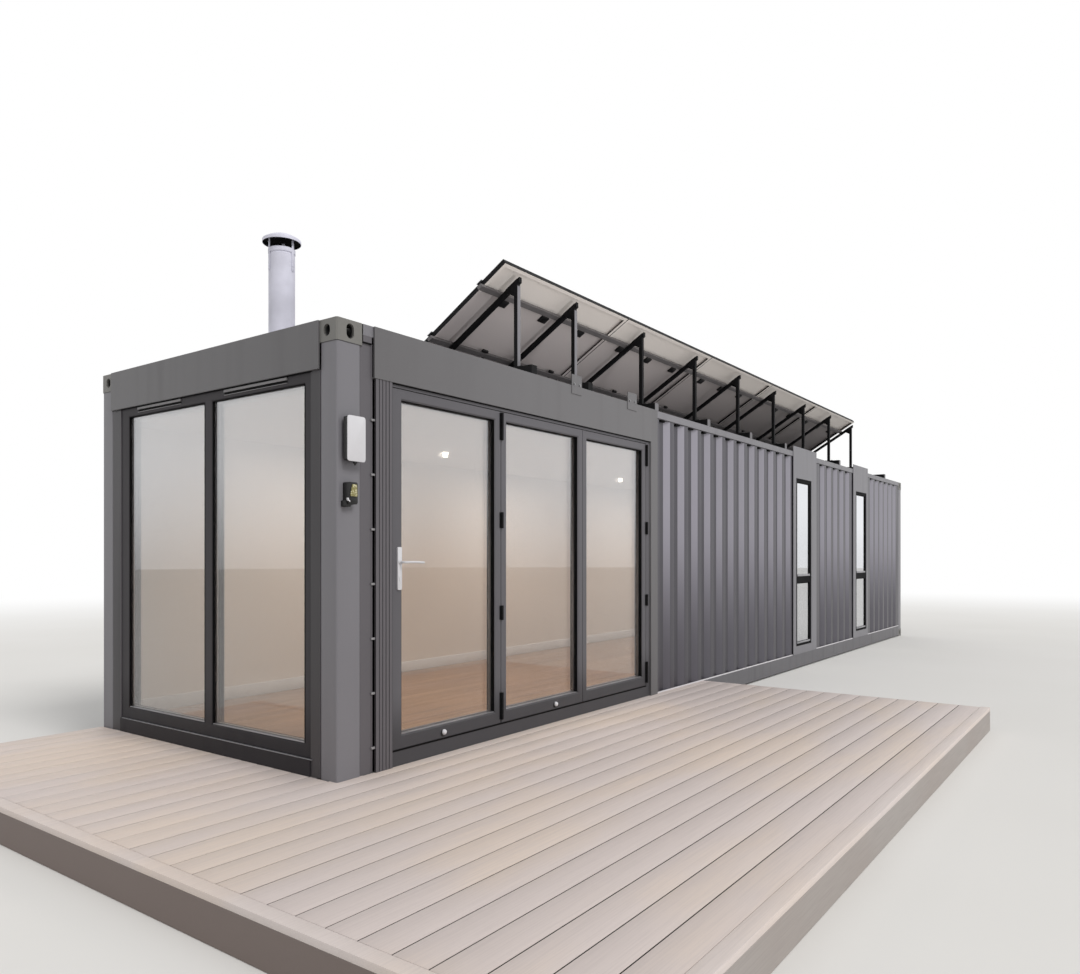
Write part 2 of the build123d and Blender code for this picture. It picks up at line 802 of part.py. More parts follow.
with BuildPart() as deck_fascia:
    side_board = (0, board_foot)
    block((-deck_front_reach, inner_x[0]), (-deck_side_reach, width), side_board)
    block((-deck_front_reach, deck_length), (-deck_side_reach, inner_y[0]), side_board)
    block((inner_x[1], deck_length), (-deck_side_reach, 0), side_board)
    block((-deck_front_reach, 0), (inner_y[1], width), side_board)
save(deck_fascia.part, "deck_fascia")

with BuildPart() as deck_joists:
    joist_count = int((inner_x[1] - inner_x[0] - joist) // joist_pitch) + 1
    for number in range(joist_count):
        x = inner_x[0] + number * joist_pitch
        beside_cabin = x + joist > 0
        block((x, x + joist), (inner_y[0], 0 if beside_cabin else inner_y[1]), (0, board_foot))
save(deck_joists.part, "deck_joists")
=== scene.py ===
import random
from math import cos, pi, radians, sin, tan

import bmesh
import bpy
from mathutils import Matrix, Vector


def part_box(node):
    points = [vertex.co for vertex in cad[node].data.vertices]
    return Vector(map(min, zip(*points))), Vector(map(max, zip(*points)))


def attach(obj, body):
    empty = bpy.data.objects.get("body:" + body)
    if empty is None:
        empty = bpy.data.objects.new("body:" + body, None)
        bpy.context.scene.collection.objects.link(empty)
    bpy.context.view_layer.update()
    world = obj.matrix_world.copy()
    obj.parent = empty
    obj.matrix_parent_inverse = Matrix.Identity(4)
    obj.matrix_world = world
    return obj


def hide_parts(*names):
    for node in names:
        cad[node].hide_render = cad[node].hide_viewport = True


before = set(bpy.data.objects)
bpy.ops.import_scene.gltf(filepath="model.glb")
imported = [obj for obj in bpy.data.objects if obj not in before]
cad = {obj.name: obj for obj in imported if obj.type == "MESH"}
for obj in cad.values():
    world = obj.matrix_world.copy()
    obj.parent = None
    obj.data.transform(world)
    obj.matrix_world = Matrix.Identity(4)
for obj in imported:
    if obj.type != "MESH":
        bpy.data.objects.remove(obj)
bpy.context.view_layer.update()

scene = bpy.context.scene

# Places are in metres from the ground under the near corner: x runs along the cabin from its glazed end, y
# across it from the side with the folding door, and z up.
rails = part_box("bottom_rails")[0]
near_corner = Vector((rails.x, rails.y, 0))
cabin_length, cabin_width, cabin_height = 12.192, 2.438, 2.591
array_tilt = radians(31)
module_pitch = 1.65
photo_wide, focal_pixels, horizon_shift = 1080, 831, 69


# Camera

lens = bpy.data.cameras.new("photo_camera")
lens.sensor_fit = "HORIZONTAL"
lens.sensor_width = 36
lens.lens = focal_pixels / photo_wide * lens.sensor_width
lens.shift_y = horizon_shift / photo_wide
lens.clip_end = 300
camera = bpy.data.objects.new("photo_camera", lens)
camera.location = near_corner + Vector((-2.849, -3.381, 1.35))
camera.rotation_euler = (radians(90), 0, radians(-53.85))
scene.collection.objects.link(camera)
scene.camera = camera
scene.view_settings.view_transform = "Standard"


# Finishes

def tone(red, green, blue):
    """A colour written as a screen shows it, in the linear values that a shader takes."""
    shown = [value / 255 for value in (red, green, blue)]
    return (*[value / 12.92 if value < 0.04 else ((value + 0.055) / 1.055) ** 2.4 for value in shown], 1)


def maths(operation):
    """A sum of a socket and another socket or number, made as a Math node."""
    def join(self, other=0):
        return self.finish.wire("Math", {"operation": operation}, {0: self, 1: other})
    return join


class Wire:
    """A socket of a finish. Sums written with it add Math nodes."""

    __add__ = __radd__ = maths("ADD")
    __sub__ = maths("SUBTRACT")
    __mul__ = maths("MULTIPLY")
    __truediv__ = maths("DIVIDE")
    __mod__ = maths("FLOORED_MODULO")
    __lt__ = maths("LESS_THAN")
    __gt__ = maths("GREATER_THAN")
    __pow__ = maths("POWER")
    floor = maths("FLOOR")
    least = maths("MINIMUM")
    most = maths("MAXIMUM")

    def __init__(self, finish, socket):
        self.finish = finish
        self.socket = socket

    def __rsub__(self, other):
        return self * -1 + other


class Finish:
    """A procedural finish, made of nodes that follow places on the cabin."""

    def __init__(self, name, store=bpy.data.materials):
        self.material = store.new(name)
        self.material.use_nodes = True
        self.tree = self.material.node_tree
        self.tree.nodes.clear()
        self.place = self.wire("TexCoord", out="Object")

    def node(self, kind, settings=(), sockets=()):
        """Adds a node of a kind, sets its settings first, then the values or links of its sockets."""
        made = self.tree.nodes.new("ShaderNode" + kind)
        for key, value in dict(settings).items():
            setattr(made, key, value)
        for key, value in dict(sockets).items():
            if isinstance(value, Wire):
                self.tree.links.new(value.socket, made.inputs[key])
            else:
                made.inputs[key].default_value = value
        return made

    def wire(self, kind, settings=(), sockets=(), out=0):
        """Adds a node and gives one of its outputs."""
        return Wire(self, self.node(kind, settings, sockets).outputs[out])

    def axis(self, letter):
        """The distance along one of the cabin's directions."""
        parts = self.wire("SeparateXYZ", (), {"Vector": self.place}, letter)
        return parts - near_corner["XYZ".index(letter)]

    def facing(self, letter):
        """How far the surface faces along a direction, from -1 to 1."""
        return self.wire("SeparateXYZ", (), {"Vector": self.wire("NewGeometry", out="Normal")}, letter)

    def noise(self, scale, stretch=(1, 1, 1), detail=2.0, roughness=0.5):
        """Soft random values about 0.5."""
        place = self.wire("Mapping", (), {"Vector": self.place, "Scale": stretch})
        return self.wire("TexNoise", (), {"Vector": place, "Scale": scale, "Detail": detail,
                                          "Roughness": roughness})

    def chance(self, *values):
        """One random value from 0 to 1 for each whole number given."""
        joined = self.wire("CombineXYZ", (), dict(enumerate(values)))
        return self.wire("TexWhiteNoise", {"noise_dimensions": "3D"}, {"Vector": joined})

    def spread(self, value, low, high):
        """How far a value has come from one limit to another, eased, from 0 to 1."""
        return self.wire("MapRange", {"interpolation_type": "SMOOTHSTEP"},
                         {"Value": value, "From Min": low, "From Max": high})

    def mix(self, share, first, second):
        """A colour between two, by a share. Three numbers are a colour as a screen shows it."""
        ends = {6: first, 7: second}
        for key, end in ends.items():
            if isinstance(end, tuple) and len(end) == 3:
                ends[key] = tone(*end)
        return self.wire("Mix", {"data_type": "RGBA"}, {0: share, **ends}, 2)

    def bump(self, height, distance, under=None):
        """A normal that follows a height given in metres times the distance."""
        sockets = {"Height": height, "Distance": distance, "Strength": 1.0}
        if under:
            sockets["Normal"] = under
        return self.wire("Bump", (), sockets)

    def surface(self, **sockets):
        """Ends the finish in a shader with these sockets, spaces written as underscores."""
        named = {key.replace("_", " "): value for key, value in sockets.items()}
        shader = self.wire("BsdfPrincipled", (), named)
        self.node("OutputMaterial", (), {"Surface": shader})
        return self.material


def coated_steel(name, shade, low, streak=0.5, roughness=0.42, end=None, painted_slot_shade=False, fold_shade_and_sky_light=None):
    """Sprayed steel: cloudy tone, rain runs down its sides and dust on its ledges.

    Faces towards the glazed end can have a tone of their own. A sheet has painted shade in its troughs and
    towards its foot, and painted sky light on its slopes towards the glazed end. A casting has painted
    shade, near black, in its slots.
    """
    dust = (150, 146, 138)
    coat = Finish(name)
    cloud = coat.noise(0.8, detail=3)
    runs = coat.spread(coat.noise(1.0, (9, 9, 0.45), 4), 0.45, 0.75)
    speck = coat.noise(90, detail=3)
    base = coat.mix(cloud, low, shade)
    base = coat.mix(runs * streak * 0.35, base, low)
    base = coat.mix(coat.spread(speck, 0.62, 0.8) * 0.12, base, dust)
    # Darker towards the foot
    darker_foot = coat.spread(coat.axis("Z") + coat.noise(3, detail=3) * 0.25, 0.42, 0.22) * 0.6
    ledge = coat.spread(coat.facing("Z"), 0.5, 0.95) * coat.spread(coat.noise(5, detail=3), 0.25, 0.65)
    base = coat.mix(darker_foot, base, low)
    base = coat.mix(ledge * 0.55, base, dust)
    if end:
        base = coat.mix(coat.spread(coat.facing("X"), -0.5, -0.8), base, end)
    along, across, up = coat.axis("X"), coat.axis("Y"), coat.axis("Z")
    depth = along.least(cabin_length - along).least(across.least(cabin_width - across))
    if fold_shade_and_sky_light:
        # Painted shade in the troughs, painted sky light on the slopes towards the glazed end (stronger
        # higher up), and painted shade towards the foot
        base = coat.mix(coat.spread(depth, 0.014, 0.042) * 0.75, base, fold_shade_and_sky_light[0])
        sky = coat.spread(up, 0.4, 1.8) * 0.6 + 0.3
        base = coat.mix(coat.spread(coat.facing("X"), -0.15, -0.42) * sky, base, fold_shade_and_sky_light[1])
        base = coat.mix(coat.spread(up, 1.5, 0.3) * 0.4, base, fold_shade_and_sky_light[0])
    if painted_slot_shade:
        # Painted shade: near black deep in the casting's slots
        depth = depth.least(up.least(cabin_height - up))
        base = coat.mix(coat.spread(depth, 0.005, 0.024), base, (6, 6, 7))
    rough = roughness + runs * 0.1 + ledge * 0.3 + (cloud - 0.5) * 0.12
    peel = coat.bump(coat.noise(420, detail=1), 0.00012)
    dents = coat.bump(coat.noise(2.2, (1, 1, 0.6), 1), 0.0025, peel)
    return coat.surface(Base_Color=base, Roughness=rough, Normal=dents, Specular_IOR_Level=0.45)


def powder_coat(name, shade, roughness=0.48, sheen=0.15, foot=None, front=None):
    """Fine-grained powder coat on window bars and black steelwork.

    It can be darker near its foot, and carry painted sunlight, a pale tone, on faces above the sheets of the
    side with the door.
    """
    coat = Finish(name)
    cloud = coat.noise(1.4, detail=3)
    grain = coat.noise(700, detail=1)
    wipe = coat.spread(coat.noise(7, (1, 1, 0.35), 4), 0.5, 0.72)
    ledge = coat.spread(coat.facing("Z"), 0.5, 0.95) * coat.spread(coat.noise(9, detail=3), 0.3, 0.65)
    base = coat.mix(cloud * 0.5 + wipe * 0.18, shade, dust_over(shade, 0.35))
    if foot:
        base = coat.mix(coat.spread(coat.axis("Z"), 0.6, 0.3), base, foot)
    if front:
        # Painted sunlight: faces towards the side with the door, past the header, take a pale tone
        past_header = coat.spread(coat.axis("X"), 3.3, 3.4)
        base = coat.mix(coat.spread(coat.facing("Y"), -0.5, -0.8) * past_header, base, front)
    base = coat.mix(ledge * 0.3, base, (150, 147, 144))
    rough = roughness + (grain - 0.5) * 0.16 + wipe * 0.08 + ledge * 0.25
    return coat.surface(Base_Color=base, Roughness=rough, Specular_IOR_Level=sheen,
                        Normal=coat.bump(grain, 0.00008))


def dust_over(shade, share):
    """A colour with a thin film of pale dust on it, in linear values."""
    return (*[min(value * (1 + share * 0.5) + 0.015 * share, 0.9) for value in tone(*shade)[:3]], 1)


def mill_metal(name, shade, roughness=0.38, metallic=0.75):
    """Plain rolled metal with its rolling lines and dull patches."""
    metal = Finish(name)
    lines = metal.noise(60, (0.3, 9, 9), 3)
    patch = metal.noise(3.5, detail=4)
    base = metal.mix(metal.spread(patch, 0.3, 0.7), shade, dust_over(shade, 0.5))
    rough = roughness + (lines - 0.5) * 0.2 + (patch - 0.5) * 0.25
    return metal.surface(Base_Color=base, Metallic=metallic, Roughness=rough,
                         Normal=metal.bump(lines, 0.00006))


def moulded(name, shade, roughness=0.38):
    """Moulded plastic with a faint grain."""
    plastic = Finish(name)
    cloud = plastic.noise(9, detail=3)
    skin = plastic.noise(900, detail=1)
    base = plastic.mix(cloud, shade, dust_over(shade, 0.2))
    rough = roughness + (cloud - 0.5) * 0.12
    return plastic.surface(Base_Color=base, Roughness=rough, Normal=plastic.bump(skin, 0.00005))


def rubber(name):
    """Dull black, for seals and for painted shadow."""
    seal = Finish(name)
    bloom = seal.noise(25, detail=4)
    base = seal.mix(seal.spread(bloom, 0.45, 0.8) * 0.4, (8, 8, 9), (26, 26, 26))
    return seal.surface(Base_Color=base, Specular_IOR_Level=0.12, Roughness=0.7 + (bloom - 0.5) * 0.2,
                        Normal=seal.bump(seal.noise(600), 0.00006))


def painted_board(name, shade, low):
    """Rolled paint on lining board."""
    paint = Finish(name)
    cloud = paint.noise(0.9, detail=3)
    stipple = paint.noise(240, detail=2)
    base = paint.mix(cloud, low, shade)
    return paint.surface(Base_Color=base, Roughness=0.7 + (stipple - 0.5) * 0.15,
                         Normal=paint.bump(stipple, 0.00005))


def composite(name, pale, warm, dark, shaded_side=None):
    """Moulded deck board: a fine drawn grain, and soft warm and grey patches where it has weathered."""
    board = Finish(name)
    number = ((board.axis("Y") + 2.33) / 0.15).floor()
    own = board.chance(number, 5.0, 2.0)
    patch = board.noise(0.9, (0.8, 2.2, 1), 3)
    grain = board.noise(1.0, (4, 260, 260), 3)
    base = board.mix(board.spread(patch, 0.38, 0.66), pale, warm)
    base = board.mix(own * 0.18, base, dark)
    base = board.mix(board.spread(grain, 0.42, 0.62) * 0.35, base, dark)
    # Painted shade: faces towards the glazed end take a darker tone
    if shaded_side:
        base = board.mix(board.spread(board.facing("X"), -0.5, -0.8), base, shaded_side)
    rough = 0.62 + (grain - 0.5) * 0.2 + (patch - 0.5) * 0.1
    return board.surface(Base_Color=base, Roughness=rough, Normal=board.bump(grain, 0.0004))


def timber(name, pale, dark, along="X", grain=1.0, roughness=0.6, board=0.15, start=0.0, varied=0.35,
           joint=0.0):
    """Wood in boards of one width, each with its own tone, the grain running along them."""
    wood = Finish(name)
    across = {"X": "Y", "Y": "X"}[along]
    long_way = {"X": (1.2, 34, 34), "Y": (34, 1.2, 34)}[along]
    number = ((wood.axis(across) - start) / board).floor()
    own = wood.chance(number, 3.0, 7.0)
    fibres = wood.noise(grain, long_way, 5, 0.62)
    bands = wood.noise(0.35 * grain, long_way, 2)
    base = wood.mix(wood.spread(fibres * 0.55 + bands * 0.45, 0.36, 0.62), dark, pale)
    base = wood.mix(own * varied, base, dark)
    if joint:
        inside = (wood.axis(across) - start) % board
        seam = (inside < joint / 2).most(inside > board - joint / 2)
        base = wood.mix(seam * 0.8, base, (46, 32, 22))
    rough = roughness + (fibres - 0.5) * 0.2
    return wood.surface(Base_Color=base, Roughness=rough, Normal=wood.bump(fibres, 0.0006))


def clear_glass(name, tint, gloss):
    """Clear coated glass: what lies behind shows through it.

    It mirrors more at a low angle, in its upper part and in the far side windows, as in the photo's light.
    """
    pane = Finish(name)
    film = pane.noise(0.7, (1, 1, 0.5), 2)
    rising = pane.wire("LayerWeight", (), {"Blend": 0.5}, "Facing") ** 3
    upper = pane.spread(pane.axis("Z") + film * 0.3, 1.3, 2.2) * 0.2
    far_windows = pane.spread(pane.axis("X"), 5.0, 6.5) * 0.45
    share = rising * (0.9 - gloss) + gloss + upper + far_windows + (film - 0.5) * 0.02
    smear = pane.spread(pane.noise(12, (1, 1, 0.3), 4), 0.5, 0.9)
    mirror = pane.wire("BsdfPrincipled", (), {"Base Color": tone(232, 234, 238), "Metallic": 1.0,
                                              "Roughness": 0.015 + smear * 0.035})
    through = pane.wire("BsdfTransparent", (), {"Color": tone(*tint)})
    mixed = pane.wire("MixShader", (), {0: share, 1: through, 2: mirror})
    pane.node("OutputMaterial", (), {"Surface": mixed})
    return pane.material


def cell_glass(name):
    """The sunny face of a module: dark cells in a fine light grid, under glass."""
    face = Finish(name)
    along = face.axis("X") - 1.52
    across = face.axis("Y") / cos(array_tilt)
    cell = 0.158
    grid = ((along % module_pitch) - 0.035) % cell < 0.0035
    rows = ((across - 0.155) % cell) < 0.0035
    fine = ((along * 3 % cell) < 0.004) * 0.35
    number = (along / module_pitch).floor()
    own = face.chance(((along % module_pitch) / cell).floor(), (across / cell).floor(), number)
    base = face.mix(own * 0.7 + face.noise(30) * 0.3, (13, 18, 34), (24, 34, 62))
    lines = grid.most(rows).most(fine)
    base = face.mix(lines * 0.75, base, (168, 174, 182))
    return face.surface(Base_Color=base, Roughness=0.16 + face.noise(6, detail=3) * 0.08, Coat_Weight=1.0,
                        Coat_Roughness=0.05)


def back_sheet(name):
    """The pale back of a module: painted light makes its upper strip lighter, and painted shade darkens it
    towards the far end.
    """
    back = Finish(name)
    down = (back.axis("Y") - 0.12) / cos(array_tilt)
    cloud = back.noise(1.6, detail=4)
    base = back.mix(cloud, (206, 198, 198), (220, 212, 210))
    # Painted shade, darker towards the far end
    base = back.mix(back.spread(back.axis("X"), 2.2, 8.5) * 0.75, base, (122, 118, 117))
    # Painted light on the upper strip above the purlin
    base = back.mix(back.spread(down, 0.262, 0.25) * 0.85, base, (250, 244, 238))
    return back.surface(Base_Color=base, Roughness=0.5 + (cloud - 0.5) * 0.15,
                        Normal=back.bump(back.noise(220, detail=2), 0.00012))


def spotted_lens(name, shade, spot):
    """A moulded lens with pale spots painted on as the light of small lamps shining through."""
    cover = Finish(name)
    spots = cover.spread(cover.noise(150, detail=1), 0.56, 0.66)
    cloud = cover.noise(60, detail=2)
    base = cover.mix(cloud, shade, dust_over(shade, 0.8))
    # Painted light: pale spots of lamp light
    base = cover.mix(spots * 0.8, base, spot)
    return cover.surface(Base_Color=base, Roughness=0.22 + cloud * 0.1)


def glow(name, shade, strength):
    """A lit lens, brightest in small facets."""
    lit = Finish(name)
    facets = lit.noise(120, detail=1)
    colour = lit.mix(facets, shade, (255, 252, 244))
    return lit.surface(Base_Color=tone(*shade), Emission_Color=colour, Emission_Strength=strength,
                       Roughness=0.3)


finish = {
    "cladding": coated_steel("grey_coated_steel", (124, 123, 128), (113, 112, 117)),
    # Sheet steel with painted shade in its troughs and towards its foot, and painted sky light on its slopes
    "sheets": coated_steel("sheet_coated_steel", (68, 66, 74), (61, 59, 67), 0.5, 0.32,
                           fold_shade_and_sky_light=((57, 55, 62), (150, 148, 158))),
    "casting": coated_steel("casting_coated_steel", (124, 123, 120), (110, 109, 106), 0.3, 0.5, painted_slot_shade=True),
    # The cladding's paint, darker as painted shade on the header plates
    "header": coated_steel("header_plate_painted_shade_steel", (103, 102, 104), (94, 93, 95), 0.3),
    "trim": coated_steel("trim_steel", (98, 95, 100), (86, 84, 88), 0.3, end=(58, 56, 59)),
    # Pale ledge: dust and a painted highlight
    "ledge": coated_steel("rail_ledge_dust_and_highlight", (222, 220, 224), (206, 204, 208), 0.2),
    "rails": coated_steel("bottom_rail_steel", (100, 99, 103), (88, 87, 91)),
    # Weld beads, darker as painted shadow of the joints
    "seam": coated_steel("weld_seam_painted_shade", (74, 73, 76), (60, 59, 62), 0.2),
    "under": coated_steel("underframe_steel", (52, 52, 54), (36, 36, 38), 0.3),
    "bars": powder_coat("window_bar_coat", (93, 92, 96), foot=(72, 71, 74)),
    "front_bars": powder_coat("front_bar_coat", (60, 58, 61), foot=(46, 44, 47)),
    "vent": powder_coat("vent_hood_coat", (140, 139, 141), 0.45, 0.3),
    "dark_bars": powder_coat("dark_window_bar_coat", (14, 14, 16), 0.6, 0.04),
    # Black beams with painted sunlight on their faces towards the side with the door
    "beams": powder_coat("beam_coat", (15, 15, 17), 0.6, front=(118, 117, 120)),
    "black": powder_coat("black_steel_coat", (15, 15, 17), 0.6),
    "plate": mill_metal("mill_aluminium", (150, 150, 154)),
    "purlin": mill_metal("grey_purlin_metal", (104, 101, 102), 0.55, 0.1),
    "bolt": mill_metal("zinc_bolt", (142, 142, 144), 0.34, 0.9),
    "flue": mill_metal("pale_flue_metal", (204, 204, 217), 0.6, 0.05),
    # Painted shade under the cowl
    "cowl_shade": powder_coat("cowl_underside_painted_shade", (14, 13, 13), 0.8, 0.1),
    "white": moulded("white_moulding", (206, 206, 210)),
    "black_plastic": moulded("black_moulding", (8, 8, 9), 0.45),
    "lens": spotted_lens("amber_lens", (118, 112, 66), (240, 236, 205)),
    "seal": rubber("black_seal_and_painted_shadow"),
    "lining": painted_board("painted_lining", (214, 205, 198), (206, 196, 188)),
    "oak": timber("oak_floor", (170, 138, 112), (132, 104, 82), roughness=0.4, board=0.19, joint=0.004),
    "ply": timber("floor_plywood", (150, 112, 76), (110, 76, 48), "X", 0.8, 0.7, 1.2, 0, 0.2, 0.003),
    "deck": composite("deck_board", (209, 198, 194), (215, 200, 188), (192, 182, 179)),
    "nosing": composite("deck_edge_board", (216, 206, 202), (220, 206, 196), (198, 188, 184)),
    # Side boards with painted shade on the faces towards the glazed end
    "fascia": composite("deck_side_board", (164, 158, 154), (160, 151, 146), (145, 138, 134),
                        (117, 105, 100)),
    "joist": timber("joist_softwood", (156, 128, 92), (118, 90, 60), "Y", 1, 0.75, 0.5, -1.18, 0.3),
    "glass": clear_glass("coated_glass", (253, 251, 248), 0.04),
    "cells": cell_glass("module_cells"),
    "back": back_sheet("module_back"),
    "glow": glow("lamp_lens", (255, 248, 236), 9.0),
}


# Mesh work

def rounded(points, radius, steps=3, closed=False):
    """The points of a line, its corners rounded."""
    line = [Vector(point) for point in points]
    result = []
    for index, point in enumerate(line):
        if not closed and index in (0, len(line) - 1):
            result.append(point)
            continue
        before = line[index - 1] - point
        after = line[(index + 1) % len(line)] - point
        bend = before.angle(after)
        reach = min(radius / tan(bend / 2), before.length * 0.48, after.length * 0.48)
        first = point + before.normalized() * reach
        last = point + after.normalized() * reach
        for step in range(steps + 1):
            share = step / steps
            result.append(first * (1 - share) ** 2 + point * 2 * share * (1 - share) + last * share ** 2)
    return result


def corrugation(start, end, pitch, flat, slope, depth):
    """The outer line of a corrugated sheet from start to end, as (place, depth) points."""
    waves = int((end - start) / pitch + 1e-9)
    margin = (end - start - waves * pitch) / 2
    crest = pitch - 2 * slope - flat
    points = [(start, 0)]
    for wave in range(waves):
        foot = start + margin + wave * pitch + crest / 2
        head = foot + slope + flat
        points += [(foot, 0), (foot + slope, depth), (head, depth), (head + slope, 0)]
    points.append((end, 0))
    return points


def about(centre, half):
    """The span of a given half width about a place."""
    return (centre - half, centre + half)


def within(span, inset):
    """A span drawn in at both ends."""
    return (span[0] + inset, span[1] - inset)


def point_along(way, distance, first, second):
    """A point from its distance along a direction and its other two numbers in order."""
    point = [first, second]
    point.insert("XYZ".index(way), distance)
    return point


class Shape:
    """A piece being made, in metres from the near corner."""

    def __init__(self):
        self.mesh = bmesh.new()

    def points(self, places):
        return [self.mesh.verts.new(place) for place in places]

    def soften(self, edges, offset):
        """Eases edges to a round of the given width."""
        bmesh.ops.bevel(self.mesh, geom=list(edges), offset=offset, segments=2, profile=0.5, affect="EDGES")

    def band(self, lower, upper):
        """Faces between two closed rows of points. A row can be a single point."""
        made = []
        for step in range(max(len(lower), len(upper))):
            loop = [lower[place % len(lower)] for place in (step, step + 1)[:len(lower)]]
            loop += [upper[place % len(upper)] for place in (step + 1, step)[:len(upper)]]
            if len(loop) > 2:
                made.append(self.mesh.faces.new(loop))
        return made

    def bar(self, x, y, z, edge=0):
        """A bar between two distances each way, its edges eased."""
        corners = self.points((a, b, c) for a in x for b in y for c in z)
        sides = [(0, 1, 3, 2), (4, 6, 7, 5), (0, 4, 5, 1), (2, 3, 7, 6), (0, 2, 6, 4), (1, 5, 7, 3)]
        made = [self.mesh.faces.new([corners[i] for i in side]) for side in sides]
        if edge:
            self.soften({line for side in made for line in side.edges}, edge)
        return self

    def prism(self, outline, way, start, end, edge=0):
        """An outline drawn out along a direction. Its two numbers are the other two directions in order."""
        low, high = [self.points(point_along(way, distance, *point[:2]) for point in outline)
                     for distance in (start, end)]
        caps = [self.mesh.faces.new(low[::-1]), self.mesh.faces.new(high)]
        self.band(low, high)
        if edge:
            self.soften({line for cap in caps for line in cap.edges}, edge)
        return self

    def turned(self, profile, centre, way=(0, 0, 1), steps=32):
        """A turned form: (radius, height) points swept round an axis through the centre."""
        turn = Vector((0, 0, 1)).rotation_difference(Vector(way)).to_matrix()
        circle = [2 * pi * step / steps for step in range(steps)]
        rings = []
        for radius, height in profile:
            rings.append(self.points(
                Vector(centre) + turn @ Vector((radius * cos(angle), radius * sin(angle), height))
                for angle in (circle if radius > 1e-7 else [0])))
        for lower, upper in zip(rings, rings[1:]):
            self.band(lower, upper)
        return self

    def rod(self, path, radius, sides=12, flatten=1):
        """A rod along a path, with flat ends."""
        path = [Vector(point) for point in path]
        side = Vector((0, 0, 1))
        circle = [2 * pi * step / sides for step in range(sides)]
        rings = []
        for index, point in enumerate(path):
            ahead = path[min(index + 1, len(path) - 1)] - path[max(index - 1, 0)]
            ahead.normalize()
            if abs(ahead.dot(side)) > 0.95:
                side = Vector((0, 1, 0))
            across = side.cross(ahead).normalized() * radius
            upward = ahead.cross(across).normalized() * radius * flatten
            rings.append(self.points(point + across * cos(angle) + upward * sin(angle)
                                     for angle in circle))
        for lower, upper in zip(rings, rings[1:]):
            self.band(lower, upper)
        self.mesh.faces.new(rings[0][::-1])
        self.mesh.faces.new(rings[-1])
        return self

    def ring(self, way, span, heights, depth, width, edge=0):
        """A rectangular ring of bars facing along X, Y or Z, its bars lying inside the given opening."""
        loops = []
        for inset in (0, width):
            (left, right), (foot, head) = within(span, inset), within(heights, inset)
            for d in depth:
                loops.append(self.points(point_along(way, d, a, z) for a, z in (
                    (left, foot), (right, foot), (right, head), (left, head))))
        made = []
        for first, second in ((0, 1), (1, 3), (3, 2), (2, 0)):
            made += self.band(loops[first], loops[second])
        if edge:
            self.soften({line for side in made for line in side.edges
                         if len(line.link_faces) == 2 and line.calc_face_angle(0) > 0.5}, edge)
        return self

    def screw(self, centre, way, radius=0.004, rise=0.0015):
        """A low domed screw head."""
        profile = [(radius, 0), (radius, rise * 0.4), (radius * 0.75, rise * 0.85), (radius * 0.35, rise),
                   (radius * 0.3, rise * 0.4), (0, rise * 0.4)]
        return self.turned(profile, centre, way, 12)

    def bolt(self, centre, way, radius=0.009, rise=0.007):
        """A six-sided bolt head on a washer."""
        self.turned([(radius * 1.5, 0), (radius * 1.5, rise * 0.25), (radius, rise * 0.25)], centre, way, 16)
        return self.turned([(radius, rise * 0.25), (radius, rise * 0.85), (radius * 0.8, rise), (0, rise)],
                           centre, way, 6)

    def turn(self, matrix):
        self.mesh.transform(matrix)
        return self

    def piece(self, name, coat, slot, *replaced, smooth=35):
        """Ends the piece: its finish and the nodes it stands for. The material slot it is given is not used.
        """
        bmesh.ops.recalc_face_normals(self.mesh, faces=self.mesh.faces)
        self.mesh.transform(Matrix.Translation(near_corner))
        return placed(name, self.mesh, coat, replaced, smooth)


def placed(name, mesh, coat, replaced=(), smooth=35):
    """Puts a finished mesh on the cabin's body."""
    data = bpy.data.meshes.new(name)
    mesh.to_mesh(data)
    mesh.free()
    data.shade_smooth()
    data.set_sharp_from_angle(angle=radians(smooth))
    data.materials.append(finish[coat])
    made = bpy.data.objects.new(name, data)
    scene.collection.objects.link(made)
    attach(made, "root")
    if replaced:
        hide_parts(*replaced)
    return made


def eased(node, name, coat, edge, segments=2):
    """A node's own form with its sharp edges eased, as a rolled or welded edge is."""
    work = bmesh.new()
    work.from_mesh(cad[node].data)
    bmesh.ops.remove_doubles(work, verts=work.verts, dist=0.00002)
    bmesh.ops.dissolve_limit(work, angle_limit=radians(0.5), verts=work.verts, edges=work.edges)
    bmesh.ops.recalc_face_normals(work, faces=work.faces)
    made = placed(name, work, coat, (node,))
    soften = made.modifiers.new("eased_edges", "BEVEL")
    soften.width = edge
    soften.segments = segments
    soften.limit_method = "ANGLE"
    soften.angle_limit = radians(40)
    soften.harden_normals = True
    return made


def kept(node, coat):
    """A node shown as it is, with a finish."""
    cad[node].data.materials.clear()
    cad[node].data.materials.append(finish[coat])


# Nodes that keep their form

eased("corner_castings", "cast_corners", "casting", 0.003)
eased("corner_posts", "folded_corner_posts", "cladding", 0.001)
eased("bottom_rails", "folded_bottom_rails", "rails", 0.0025)
eased("top_rails", "square_top_rails", "cladding", 0.004, 3)
eased("side_header", "side_header_plate", "header", 0.0015)
eased("front_header", "front_header_plate", "header", 0.0015)
eased("window_surrounds", "window_cover_plates", "cladding", 0.0015)
eased("post_trims", "post_trim_strips", "trim", 0.001)
eased("jamb_cover", "ribbed_jamb_cover", "trim", 0.0008)
eased("door_frame", "door_outer_frame", "bars", 0.0015)
for leaf in ("lead_door_leaf", "middle_door_leaf", "end_door_leaf"):
    eased(leaf, leaf + "_bars", "bars", 0.0012)
eased("front_window_frame", "front_window_bars", "front_bars", 0.0015)
eased("front_sill", "front_sill_cover", "front_bars", 0.002)
eased("side_window_frames", "side_window_bars", "dark_bars", 0.0012)
eased("roof_beams", "square_roof_beams", "beams", 0.003)
